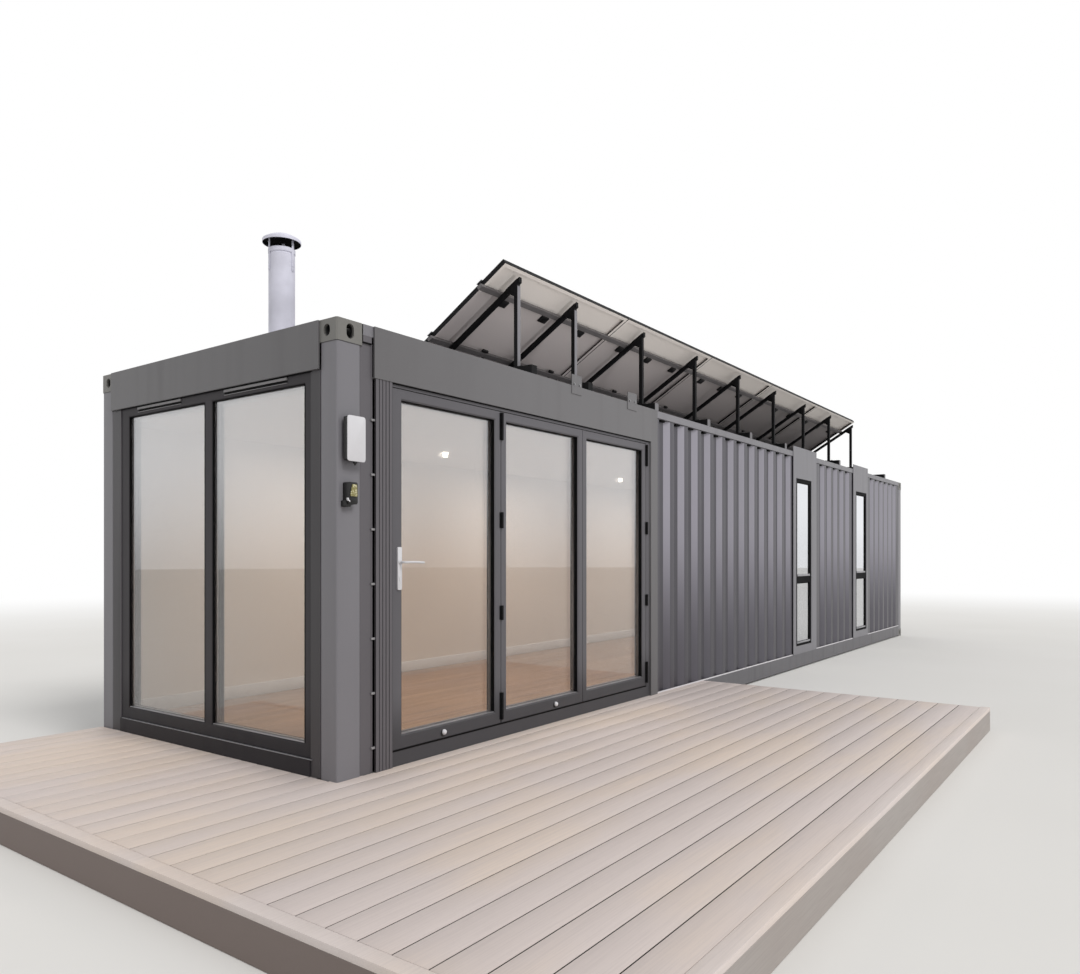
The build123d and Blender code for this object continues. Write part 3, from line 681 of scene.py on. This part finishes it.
eased("solar_posts", "square_array_posts", "black", 0.002)
eased("solar_rafters", "square_array_rafters", "black", 0.002)
eased("solar_purlins", "array_purlins", "purlin", 0.001)
eased("deck_fascia", "deck_side_boards", "fascia", 0.002)
eased("deck_joists", "joist_timbers", "joist", 0.002)
kept("cross_members", "under")
kept("subfloor_boards", "ply")
kept("wood_floor", "oak")
for node in ("near_wall_lining", "far_wall_lining", "rear_wall_lining", "ceiling"):
    kept(node, "lining")


# Corrugated sheets with rounded bends

sheet_thickness = 0.002
sheet_heights = (0.175, 2.531)
near_stretches = ((3.464, 6.85), (7.7, 9.33), (10.09, 12.014))
side_wave = (0.278, 0.072, 0.068, 0.036)


def wave_outline(start, end, *wave):
    """The closed outline of a folded sheet with rounded bends, as (place, depth) points."""
    line = rounded([(place, depth, 0) for place, depth in corrugation(start, end, *wave)], 0.014)
    return [(p.x, p.y) for p in line] + [(p.x, p.y + sheet_thickness) for p in reversed(line)]


near = Shape()
for stretch in near_stretches:
    outline = [(x, 0.008 + y) for x, y in wave_outline(*stretch, *side_wave)]
    near.prism(outline, "Z", *sheet_heights)
near.piece("near_corrugated_sheets", "sheets", "cladding", "near_wall_sheets", smooth=50)

far_outline = [(x, 2.43 - y) for x, y in wave_outline(0.178, 12.014, *side_wave)]
rear_outline = [(12.184 - d, y) for y, d in wave_outline(0.162, 2.276, 0.25, 0.08, 0.02, 0.045)]
for outline, name, node in ((far_outline, "far_corrugated_sheet", "far_wall_sheet"),
                            (rear_outline, "rear_corrugated_sheet", "rear_wall_sheet")):
    Shape().prism(outline, "Z", *sheet_heights).piece(name, "sheets", "cladding", node, smooth=50)

outline = [(x, 2.589 - d) for x, d in wave_outline(0.178, 12.014, 0.209, 0.091, 0.013, 0.02)]
roof = Shape().prism(outline, "Y", 0.06, 2.378)
roof.bar((0.06, 0.178), (0.162, 2.276), (2.587, 2.589))
roof.bar((12.014, 12.132), (0.162, 2.276), (2.587, 2.589))
roof.piece("folded_roof_sheet", "sheets", "cladding", "roof_sheet", smooth=50)


# Foot ledges pale with dust and a painted highlight, painted shadow at the tops of the troughs, and weld
# seams darkened by painted shadow

foot_ledge = Shape()
trough_top_shadows = Shape()
seams = Shape()
for start, end in near_stretches:
    # Pale ledge at the sheets' foot: dust and a painted highlight
    foot_ledge.bar((start, end), (0.0005, 0.01), (0.1745, 0.185), 0.001)
    line = corrugation(start, end, *side_wave)
    for near_bend, far_bend in zip(line, line[1:]):
        if near_bend[1] and far_bend[1]:
            # Painted shadow: a black bar at the top of each trough, under the top rail
            trough_top_shadows.bar((near_bend[0], far_bend[0]), (0.02, 0.043), (2.516, 2.5305), 0.002)
    # Weld bead along the top of the sheet, dark as painted shadow under the rail
    seams.rod(rounded([(x, 0.006 + y, 2.53) for x, y in line], 0.016), 0.003, 6)
foot_ledge.piece("sheet_foot_ledge", "ledge", "cladding")
trough_top_shadows.piece("painted_trough_top_shadows", "seal", "cladding")

# Weld beads round the posts under the castings, dark as painted shadow
for x, along, far_y, across in ((0.003, 0.16, 2.302, 0.133), (12.014, 0.175, 2.276, 0.159)):
    for y in (0.003, far_y):
        for z in (0.1195, 2.4715):
            loop = [(x, y, z), (x + along, y, z), (x + along, y + across, z), (x, y + across, z)]
            loop = rounded(loop, 0.012, 4, closed=True)
            seams.rod(loop + loop[:1], 0.0025, 6)
seams.piece("post_weld_seams", "seam", "cladding", smooth=60)


# Black bars of painted shadow, seals and tabs

leaf_starts = [0.395 + 0.966 * number for number in range(3)]
leaf_panes = [(leaf_starts[0] + 0.077, leaf_starts[0] + 0.904)]
leaf_panes += [(start + 0.058, start + 0.904) for start in leaf_starts[1:]]
leaf_pane_heights = (0.345, 2.227)
front_panes = [(0.275, 1.135), (1.219, 2.097)]
front_pane_heights = (0.345, 2.275)
window_starts = (6.95, 9.46)
side_panes = [(start + 0.05, start + 0.5) for start in window_starts]
side_pane_heights = [(0.32, 1.02), (1.13, 2.23)]

# Painted shadow: black bars fill the gap beside the post, under the headers, along the door and at the ends
# of the sheets
gap_shadows = Shape()
gap_shadows.bar((0.2405, 0.35), (0.0435, 0.0475), (0.176, 2.53))
gap_shadows.bar((0.2405, 0.2495), (0.03, 0.044), (2.312, 2.53))
gap_shadows.bar((0.384, 0.3878), (-0.001, 0.0058), (0.176, 2.311), 0.0008)
gap_shadows.bar((0.388, 3.3485), (-0.004, 0.0058), (2.3065, 2.3118), 0.0008)
gap_shadows.bar((0.3842, 0.3946), (0.0025, 0.0058), (0.262, 2.306))
gap_shadows.bar((0.395, 3.292), (0.003, 0.0058), (0.258, 0.2655))
gap_shadows.bar((0.1785, 0.2395), (0.001, 0.009), (2.49, 2.4965), 0.0008)
gap_shadows.bar((-0.002, 0.0098), (0.205, 2.21), (2.33, 2.3348), 0.0008)
for y in (0.1345, 2.3012):
    gap_shadows.bar((-0.001, 0.003), (y, y + 0.0025), (2.33, 2.47))
gap_shadows.bar((3.355, 3.36), (-0.001, 0.0058), (0.176, 2.311))
for span in ((6.8465, 6.85), (7.7, 7.7035), (9.3265, 9.33), (10.09, 10.0935)):
    gap_shadows.bar(span, (-0.002, 0.0078), (0.18, 2.529))
wing = Shape().bar((0.2402, 0.2535), (0.01, 0.016), (0.176, 2.4965), 0.0008)
wing.piece("trim_wing", "trim", "frame_steel")
gap_shadows.piece("painted_gap_shadows", "seal", "frame_steel")

tabs = Shape()
for number in range(7):
    z = 0.31 + 0.296 * number
    tabs.bar((0.2375, 0.265), (-0.0005, 0.0095), about(z, 0.006), 0.0015)
    tabs.screw((0.251, -0.0005, z), (0, -1, 0), 0.0035)
tabs.piece("gap_tabs", "vent", "frame_steel")


def flat_bar(shape, way, span, heights, depth):
    """A bar that lies flat in an opening facing along X or Y."""
    x, y = (span, depth) if way == "Y" else (depth, span)
    shape.bar(x, y, heights)


def reveal_shade_liner(shape, way, span, heights, depth, thick=0.002):
    """Painted shade: a black liner on the two sides and the head of a glazing reveal."""
    inner = within(span, thick)
    for across, z in (((span[0], inner[0]), heights), ((inner[1], span[1]), heights),
                      (inner, (heights[1] - thick, heights[1]))):
        flat_bar(shape, way, across, z, depth)


door_openings = [("Y", span, leaf_pane_heights) for span in leaf_panes]
front_openings = [("X", span, front_pane_heights) for span in front_panes]
side_openings = [("Y", span, heights) for span in side_panes for heights in side_pane_heights]

# Black liners in the reveals are painted shade; the rings are glazing seals
door_seals = Shape()
for opening in door_openings:
    reveal_shade_liner(door_seals, *opening, (0.0145, 0.0396))
    door_seals.ring(*opening, (0.0642, 0.069), 0.007, 0.0012)
door_seals.piece("door_glazing_seals", "seal", "window_frame")

front_seals = Shape()
for opening in front_openings:
    reveal_shade_liner(front_seals, *opening, (0.0112, 0.0248))
    front_seals.ring(*opening, (0.0492, 0.054), 0.006, 0.0012)
front_seals.piece("front_glazing_seals", "seal", "window_frame")

beads = Shape()
for span in front_panes:
    beads.bar((0.012, 0.0246), within(span, 0.003), (0.345, 0.35), 0.001)
for span in leaf_panes:
    beads.bar(within(span, 0.003), (0.016, 0.0396), (0.345, 0.35), 0.001)
beads.bar((-0.004, 0.009), (0.2, 2.17), (0.264, 0.2678), 0.001)
for start in window_starts:
    beads.bar((start + 0.05, start + 0.5), (-0.0045, -0.0003), (1.106, 1.13), 0.001)
    beads.bar((start + 0.04, start + 0.51), (-0.0045, -0.0003), (0.3, 0.32), 0.001)
beads.piece("pale_foot_beads", "plate", "window_frame")

side_reveal_shades = Shape()
for opening in side_openings:
    reveal_shade_liner(side_reveal_shades, *opening, (0.0012, 0.0118))
side_reveal_shades.piece("side_reveal_painted_shade", "seal", "window_frame")

spacers = Shape()
door_panes = Shape()
window_panes = Shape()
for openings, outer, shape in ((door_openings, 0.04, door_panes), (front_openings, 0.025, window_panes),
                               (side_openings, 0.012, window_panes)):
    for opening in openings:
        spacers.ring(*opening, (outer + 0.0055, outer + 0.0185), 0.011)
        for depth in (outer, outer + 0.019):
            flat_bar(shape, *opening, (depth, depth + 0.005))
spacers.piece("glass_spacers", "plate", "window_frame")
door_panes.piece("door_panes", "glass", "glass", "door_glass")
window_panes.piece("window_panes", "glass", "glass", "window_glass")


# Door furniture

hinges = Shape()


def hinge(x, face, outward, heights):
    """One hinge: flaps with screws, and a barrel of turned knuckles with capped ends."""
    foot, head = heights
    centre = face + outward * 0.011
    knuckles = 5 if head - foot > 0.15 else 3
    step = (head - foot) / knuckles
    profile = [(0, 0), (0.006, 0), (0.0082, 0.002)]
    for number in range(knuckles):
        low = number * step + (0.002 if number == 0 else 0.001)
        high = (number + 1) * step - (0.002 if number == knuckles - 1 else 0.001)
        profile += [(0.009, low), (0.009, high), (0.0074, high), (0.0074, high + 0.002)]
    profile = profile[:-2] + [(0.0082, head - foot - 0.001), (0.006, head - foot), (0, head - foot)]
    hinges.turned(profile, (x, centre, foot), steps=20)
    leafs = sorted((face, face + outward * 0.003))
    for side in (-1, 1):
        span = sorted((x + side * 0.006, x + side * 0.0165))
        hinges.bar(span, leafs, (foot + 0.002, head - 0.002), 0.0008)
        screws = 4 if head - foot > 0.15 else 2
        for number in range(screws):
            z = foot + (number + 0.5) * (head - foot) / screws
            hinges.screw((x + side * 0.0125, face + outward * 0.003, z), (0, outward, 0), 0.0028, 0.001)


for heights in ((0.29, 0.467), (0.935, 1.03), (1.53, 1.635), (2.1, 2.28)):
    hinge(leaf_starts[1] - 0.002, 0.006, -1, heights)
    hinge(leaf_starts[2] - 0.002, 0.078, 1, heights)
    hinge(leaf_starts[2] + 0.964, 0.006, -1, heights)
hinges.piece("knuckle_hinges", "black", "black_metal", "door_hinges")


def rounded_box(x, z, radius):
    """The outline of an upright plate with rounded corners."""
    corners = [(x[0], z[0], 0), (x[1], z[0], 0), (x[1], z[1], 0), (x[0], z[1], 0)]
    return [(p.x, p.y) for p in rounded(corners, radius, 6, closed=True)]


handle = Shape()
handle.prism(rounded_box((0.4295, 0.4605), (1.16, 1.4), 0.006), "Y", -0.004, 0.006, 0.0015)
handle.turned([(0.0125, 0), (0.0125, 0.006), (0.01, 0.009), (0.0078, 0.01), (0.0078, 0.012)],
              (0.445, -0.004, 1.315), (0, -1, 0), 24)
lever_end = (0.592, -0.046, 1.313)
lever = rounded([(0.445, -0.004, 1.315), (0.445, -0.046, 1.315), (0.52, -0.046, 1.316), lever_end], 0.02, 6)
handle.rod(lever, 0.0072, 14, 0.9)
handle.turned([(0.0072, 0), (0.0062, 0.0022), (0.0035, 0.0034), (0, 0.0038)], lever_end, (1, 0, 0), 14)
lock = [(0.0095, 0), (0.0095, 0.0022), (0.008, 0.003), (0.0045, 0.003), (0.0045, 0.0018), (0, 0.0018)]
handle.turned(lock, (0.445, -0.004, 1.232), (0, -1, 0), 24)
handle.bar((0.4412, 0.4488), (-0.0068, -0.004), (1.206, 1.226), 0.0012)
for z in (1.175, 1.385):
    handle.screw((0.445, -0.004, z), (0, -1, 0), 0.0042, 0.0012)
for x in (0.81, 1.97):
    handle.turned([(0.0165, 0), (0.0165, 0.005), (0.014, 0.012), (0.008, 0.017), (0, 0.0185)],
                  (x + 0.004, 0.0058, 0.301), (0, -1, 0), 24)
handle.piece("lever_handle_and_catches", "white", "white_plastic", "door_furniture")

# Painted shadow: a black disc behind each white catch, offset down and towards the glazed end
catch_painted_shadows = Shape()
for x in (0.81, 1.97):
    disc = [(0.0185, 0), (0.0185, 0.003), (0.017, 0.004), (0, 0.004)]
    catch_painted_shadows.turned(disc, (x - 0.004, 0.0059, 0.2945), (0, -1, 0), 24)
catch_painted_shadows.piece("catch_painted_shadows", "black_plastic", "black_plastic")

threshold = Shape()
threshold.bar((0.392, 3.292), (0.0795, 0.1165), (0.2612, 0.265), 0.001)
for y in (0.086, 0.097, 0.108):
    threshold.bar((0.392, 3.292), about(y, 0.002), (0.2645, 0.27), 0.0008)
threshold.piece("threshold_track", "plate", "window_frame")


# Vents over the glazed end

vent_slot_shadows = Shape()
vent_hoods = Shape()
for start, end in ((0.42, 1.01), (1.47, 1.982)):
    hood = [(0, 2.313), (0.01, 2.313), (0.01, 2.327), (0.003, 2.327)]
    vent_hoods.prism(hood, "Y", start, end, 0.0006)
    vent_hoods.bar((0.006, 0.01), (start, end), (2.2955, 2.2985), 0.0008)
    # Black under each hood: a slot in painted shadow, and a line of painted shadow above the hood
    vent_slot_shadows.bar((0.009, 0.01), (start, end), (2.2985, 2.313))
    vent_slot_shadows.bar((0.004, 0.01), (start, end), (2.3272, 2.3298))
vent_hoods.piece("vent_hoods", "vent", "window_frame", "vents")
vent_slot_shadows.piece("vent_slot_shadows", "seal", "window_frame")


# Boxes on the near post

cover = Shape().prism(rounded_box((0.028, 0.148), (1.843, 2.08), 0.013), "Y", -0.0525, -0.046, 0.0025)
cover.piece("box_cover", "white", "white_plastic", "wall_box")
base = Shape()
base.prism(rounded_box((0.03, 0.146), (1.846, 2.077), 0.011), "Y", -0.046, -0.016, 0.0015)
base.prism(rounded_box((0.055, 0.135), (1.872, 2.05), 0.006), "Y", -0.016, 0.0028, 0.001)
base.turned([(0.011, 0), (0.011, 0.01), (0.008, 0.014), (0.005, 0.014), (0.005, 0.022), (0, 0.022)],
            (0.09, -0.036, 1.846), (0, 0, -1), 20)
base.piece("box_base", "black_plastic", "black_plastic")

pad = Shape()
pad.prism(rounded_box((0.041, 0.105), (1.62, 1.735), 0.009), "Y", -0.04, 0.0028, 0.0025)
pad.bar((0.05, 0.098), (-0.0432, -0.0395), (1.632, 1.652), 0.0012)
pad.prism(rounded_box((0.028, 0.066), (1.606, 1.64), 0.006), "Y", -0.03, 0.0028, 0.0015)
pad.piece("keypad_body", "black_plastic", "black_plastic", "keypad")
corners = [(0.052, 1.662, 0), (0.1, 1.66, 0), (0.0975, 1.724, 0), (0.067, 1.724, 0)]
outline = [(p.x, p.y) for p in rounded(corners, 0.005, 5, closed=True)]
Shape().prism(outline, "Y", -0.044, -0.04, 0.0012).piece("keypad_lens", "lens", "black_plastic")
turns = (0, 0.4, 0.8, 1.2, 1.6, 2)
crescent = [(0.052 - 0.015 * sin(a), 1.646 - 0.015 * cos(a)) for a in turns]
crescent += [(0.052 - 0.01 * sin(a), 1.647 - 0.009 * cos(a)) for a in reversed(turns)]
Shape().prism(crescent, "Y", -0.0435, -0.03, 0.0006).piece("keypad_tab", "white", "white_plastic")


# Flue

flue_centre = (1.22, 2.1)
pipe = Shape()
tube = [(0.075, 2.59), (0.16, 2.59), (0.16, 2.594), (0.15, 2.6), (0.106, 2.648), (0.104, 2.662),
        (0.1, 2.664), (0.1, 3.7), (0.0975, 3.702), (0.0975, 3.712), (0.1, 3.714), (0.103, 3.716),
        (0.1035, 3.732), (0.103, 3.748), (0.1, 3.75), (0.075, 3.75), (0.075, 2.59)]
pipe.turned(tube, (*flue_centre, 0), steps=64)
seam = (flue_centre[0] + 0.1003 * cos(2.2), flue_centre[1] + 0.1003 * sin(2.2))
pipe.rod([(*seam, z) for z in (2.668, 3, 3.4, 3.706)], 0.002, 6)
pipe.piece("flue_tube", "flue", "white_metal", "flue_pipe", smooth=40)

cowl = Shape()
for number in range(3):
    cowl.bar((0.1002, 0.104), (-0.013, 0.013), (3.57, 3.835), 0.0008)
    for z in (3.585, 3.61):
        cowl.bolt((0.104, 0, z), (1, 0, 0), 0.0045, 0.004)
    cowl.turn(Matrix.Rotation(radians(120), 4, "Z"))
cowl.turn(Matrix.Translation((*flue_centre, 0)) @ Matrix.Rotation(radians(47), 4, "Z"))
inner = [(0, 3.869), (0.04, 3.8645), (0.08, 3.853), (0.113, 3.838)]
dome = [(0, 3.874), (0.04, 3.8695), (0.08, 3.858), (0.113, 3.843), (0.137, 3.829), (0.1455, 3.823),
        (0.147, 3.818), (0.147, 3.799), (0.146, 3.798), (0.1442, 3.798), (0.1434, 3.799), (0.1434, 3.8165)]
cowl.turned(dome + inner[::-1], (*flue_centre, 0), steps=72)
cowl.piece("cowl_dish", "flue", "white_metal", "flue_cowl", smooth=40)
# Painted shade: a near-black skin under the cowl's dish
lining = [(radius, z - 0.0015) for radius, z in inner]
lining += [(0.1427, 3.8152), (0.1427, 3.7995), (0.1417, 3.7995), (0.1417, 3.814)]
lining += [(radius, z - 0.0035) for radius, z in reversed(inner)]
cowl_shade = Shape().turned(lining, (*flue_centre, 0), steps=72)
cowl_shade.piece("cowl_underside", "cowl_shade", "white_metal", smooth=40)


# Deck boards

random.seed(11)
planks = Shape()
gap_shade_strips = Shape()
for number in range(32):
    row = -2.33 + 0.15 * number
    side = min(row + 0.145, 2.437)
    end = 4.399 if row < -0.075 else -0.001
    planks.bar((-1.129, end), (row + 0.0005, side), (0.1505, 0.175 - random.uniform(0, 0.0006)), 0.0022)
    strip_end = 4.398 if row < -0.0705 else -0.001
    # Painted shade: black strips under the gaps between the boards
    gap_shade_strips.bar((-1.128, strip_end), (row - 0.0043, row + 0.0003), (0.152, 0.1725))
gap_shade_strips.bar((-1.1325, -1.1295), (-2.33, 2.437), (0.152, 0.1725))
planks.piece("deck_planks", "deck", "decking", "deck_boards")
gap_shade_strips.piece("board_gap_painted_shade", "seal", "decking")
edges = Shape()
for outline in ([(-1.2, -2.4), (4.4, -2.4), (4.4, -2.333), (-1.133, -2.333)],
                [(-1.2, -2.3985), (-1.134, -2.3325), (-1.134, 2.438), (-1.2, 2.438)]):
    edges.prism(outline, "Z", 0.1502, 0.178, 0.0025)
edges.piece("deck_edge_boards", "nosing", "decking", "deck_nosing")


# Solar array, made flat and then turned to its slope

array_foot_y, array_head_z = 0.12, 3.35
slope = Matrix.Translation((0, array_foot_y, array_head_z)) @ Matrix.Rotation(-array_tilt, 4, "X")
module_spans = [(1.523 + module_pitch * number, 3.167 + module_pitch * number) for number in range(5)]
frames = Shape()
cells = Shape()
backs = Shape()
boxes = Shape()
for span in module_spans:
    frames.ring("Z", span, (0, 1), (-0.035, 0), 0.0025, 0.0006)
    frames.ring("Z", within(span, 0.002), (0.002, 0.998), (-0.002, -0.0002), 0.01)
    cells.bar(within(span, 0.003), (0.003, 0.997), (-0.0052, -0.0021))
    backs.bar(within(span, 0.003), (0.003, 0.997), (-0.0085, -0.0053))
    backs.ring("Z", within(span, 0.002), (0.002, 0.998), (-0.035, -0.033), 0.028)
    middle = (span[0] + span[1]) / 2
    for x in (middle - 0.5, middle, middle + 0.5):
        boxes.bar(about(x, 0.045), (0.285, 0.345), (-0.024, -0.0086), 0.004)
for piece, name, coat, slot, nodes in (
        (frames, "module_frames", "black", "solar", ("solar_panels",)),
        (cells, "module_cells", "cells", "solar", ()),
        (backs, "module_backs", "back", "solar", ()),
        (boxes, "module_junction_boxes", "black_plastic", "solar", ())):
    piece.turn(slope).piece(name, coat, slot, *nodes)

clamps = Shape()
for x in [1.5215] + [3.17 + module_pitch * number for number in range(4)] + [9.7685]:
    for place in (0.235, 0.78):
        clamps.bar(about(x, 0.014), about(place, 0.025), (0.0001, 0.0032), 0.0008)
        clamps.bolt((x, place, 0.0032), (0, 0, 1), 0.0055, 0.005)
clamps.turn(slope).piece("module_clamps", "plate", "array_metal")

posts = [1.715] + [2.425 + 1.047 * number for number in range(8)]
clips = Shape()
for first, second in zip(posts, posts[1:]):
    middle = (first + second) / 2
    clips.bar(about(middle, 0.03), (0.735, 0.757), (-0.056, -0.036), 0.004)
    clips.bar((middle + 0.024, middle + 0.054), (0.802, 0.815), (-0.05, -0.036), 0.003)
clips.turn(slope).piece("cable_clips", "black_plastic", "array_metal")

joints = Shape()
for x in posts:
    joints.bar(about(x, 0.026), (0.092, 0.21), (2.6562, 2.6602), 0.001)
    for y in (0.11, 0.192):
        joints.bolt((x, y, 2.6602), (0, 0, 1), 0.007, 0.006)
    top = array_head_z - 0.015 * tan(array_tilt) - 0.06 / cos(array_tilt)
    foot = top - 0.12
    tip = top - 0.103 * tan(array_tilt)
    plate = [(0.136, top), (0.136, foot), (0.166, foot), (0.24, tip - 0.022), (0.24, tip)]
    joints.prism(plate, "X", x - 0.0192, x - 0.0162, 0.0006)
    for y, z in ((0.151, foot + 0.022), (0.151, foot + 0.06), (0.21, top - 0.062)):
        joints.bolt((x - 0.0192, y, z), (-1, 0, 0), 0.005, 0.004)
joints.piece("array_joint_plates", "black", "black_metal")

# Painted sunlight: pale strips on the faces of the first two posts towards the side with the door
post_sunlit_faces = Shape()
for x in posts[:2]:
    post_sunlit_faces.bar((x - 0.0175, x + 0.0155), (0.132, 0.1348), (2.664, 3.22), 0.0008)
post_sunlit_faces.piece("post_painted_sunlit_faces", "cladding", "array_metal")

lug_bolts = Shape()
for start, end in ((2.148, 2.279), (2.95, 3.095)):
    for x in (start + 0.03, end - 0.03):
        lug_bolts.bolt((x, -0.018, 2.6), (0, -1, 0), 0.008, 0.007)
lug_bolts.piece("lug_bolts", "bolt", "cladding")


# Inside

skirting = Shape()
skirting.bar((0.165, 11.84), (2.302, 2.3195), (0.2502, 0.345), 0.003)
skirting.bar((3.352, 11.84), (0.1182, 0.136), (0.2502, 0.345), 0.003)
skirting.bar((12.03, 12.0738), (0.17, 2.268), (0.2502, 0.345), 0.003)
skirting.piece("skirting_boards", "white", "lining")

lights = Shape()
lenses = Shape()
for x in (2.478, 5.438, 8.398, 11.358):
    lights.turned([(0.025, -0.0002), (0.036, -0.0002), (0.036, -0.004), (0.032, -0.006), (0.0255, -0.004),
                   (0.025, -0.0002)], (x, 1.524, 2.25))
    lenses.turned([(0, -0.046), (0.014, -0.045), (0.021, -0.04), (0.024, -0.0004)], (x, 1.524, 2.25))
lights.piece("downlight_rims", "white", "lining")
lenses.piece("downlight_lenses", "glow", "lining")


# Stage and light

def soft_background(name):
    """White behind the object, and soft even light on it."""
    sky = Finish(name, bpy.data.worlds)
    camera_ray, glossy_ray, glass_ray = [sky.wire("LightPath", out=f"Is {kind} Ray")
                                         for kind in ("Camera", "Glossy", "Transmission")]
    seen = camera_ray.most(glossy_ray).most(glass_ray)
    strength = sky.wire("MapRange", (), {"Value": seen, "To Min": 0.62, "To Max": 1})
    light = sky.wire("Background", (), {"Color": (1, 1, 1, 1), "Strength": strength})
    sky.node("OutputWorld", (), {"Surface": light})
    return sky.material


scene.world = soft_background("studio")


def studio_floor(name):
    """A pale floor that fades into the white background far from the object."""
    ground = Finish(name)
    far = ground.wire("VectorMath", {"operation": "LENGTH"}, {0: ground.place}, "Value")
    cloud = ground.noise(0.5, detail=2)
    seen = ground.wire("LightPath", out="Is Camera Ray")
    base = ground.mix(cloud, (226, 225, 222), (232, 231, 229))
    matt = ground.wire("BsdfDiffuse", (), {"Color": base})
    white = ground.wire("Emission", (), {"Color": (1, 1, 1, 1), "Strength": 1})
    mixed = ground.wire("MixShader", (), {0: ground.spread(far, 9, 26) * seen, 1: matt, 2: white})
    ground.node("OutputMaterial", (), {"Surface": mixed})
    return ground.material


floor_mesh = bmesh.new()
bmesh.ops.create_circle(floor_mesh, cap_ends=True, segments=96, radius=90)
floor_data = bpy.data.meshes.new("studio_floor")
floor_mesh.to_mesh(floor_data)
floor_mesh.free()
floor_data.materials.append(studio_floor("pale_floor"))
floor = bpy.data.objects.new("studio_floor", floor_data)
floor.location.z = -0.001
scene.collection.objects.link(floor)


def lamp(name, kind, place, aim, **settings):
    """A soft studio lamp aimed at a point."""
    data = bpy.data.lights.new(name, kind)
    for key, value in settings.items():
        setattr(data, key, value)
    made = bpy.data.objects.new(name, data)
    made.location = near_corner + Vector(place)
    made.rotation_euler = (Vector(aim) - Vector(place)).to_track_quat("-Z", "Y").to_euler()
    made.visible_camera = False
    made.visible_glossy = False
    scene.collection.objects.link(made)


lamp("soft_sun", "SUN", (1.5, -9, 9), (3, 1, 0), energy=1.6, angle=0.4, color=(1, 0.98, 0.96))
for x in (1.6, 4.2, 6.8, 9.4):
    lamp(f"room_light_{x}", "AREA", (x, 1.2, 2.22), (x, 1.2, 0), energy=22, size=1.4, color=(1, 0.98, 0.97))
lamp("low_fill", "SPOT", (0.8, -5.5, 0.6), (2.8, 0.6, 3.1), energy=300, shadow_soft_size=0.6,
     spot_size=radians(46), spot_blend=1)
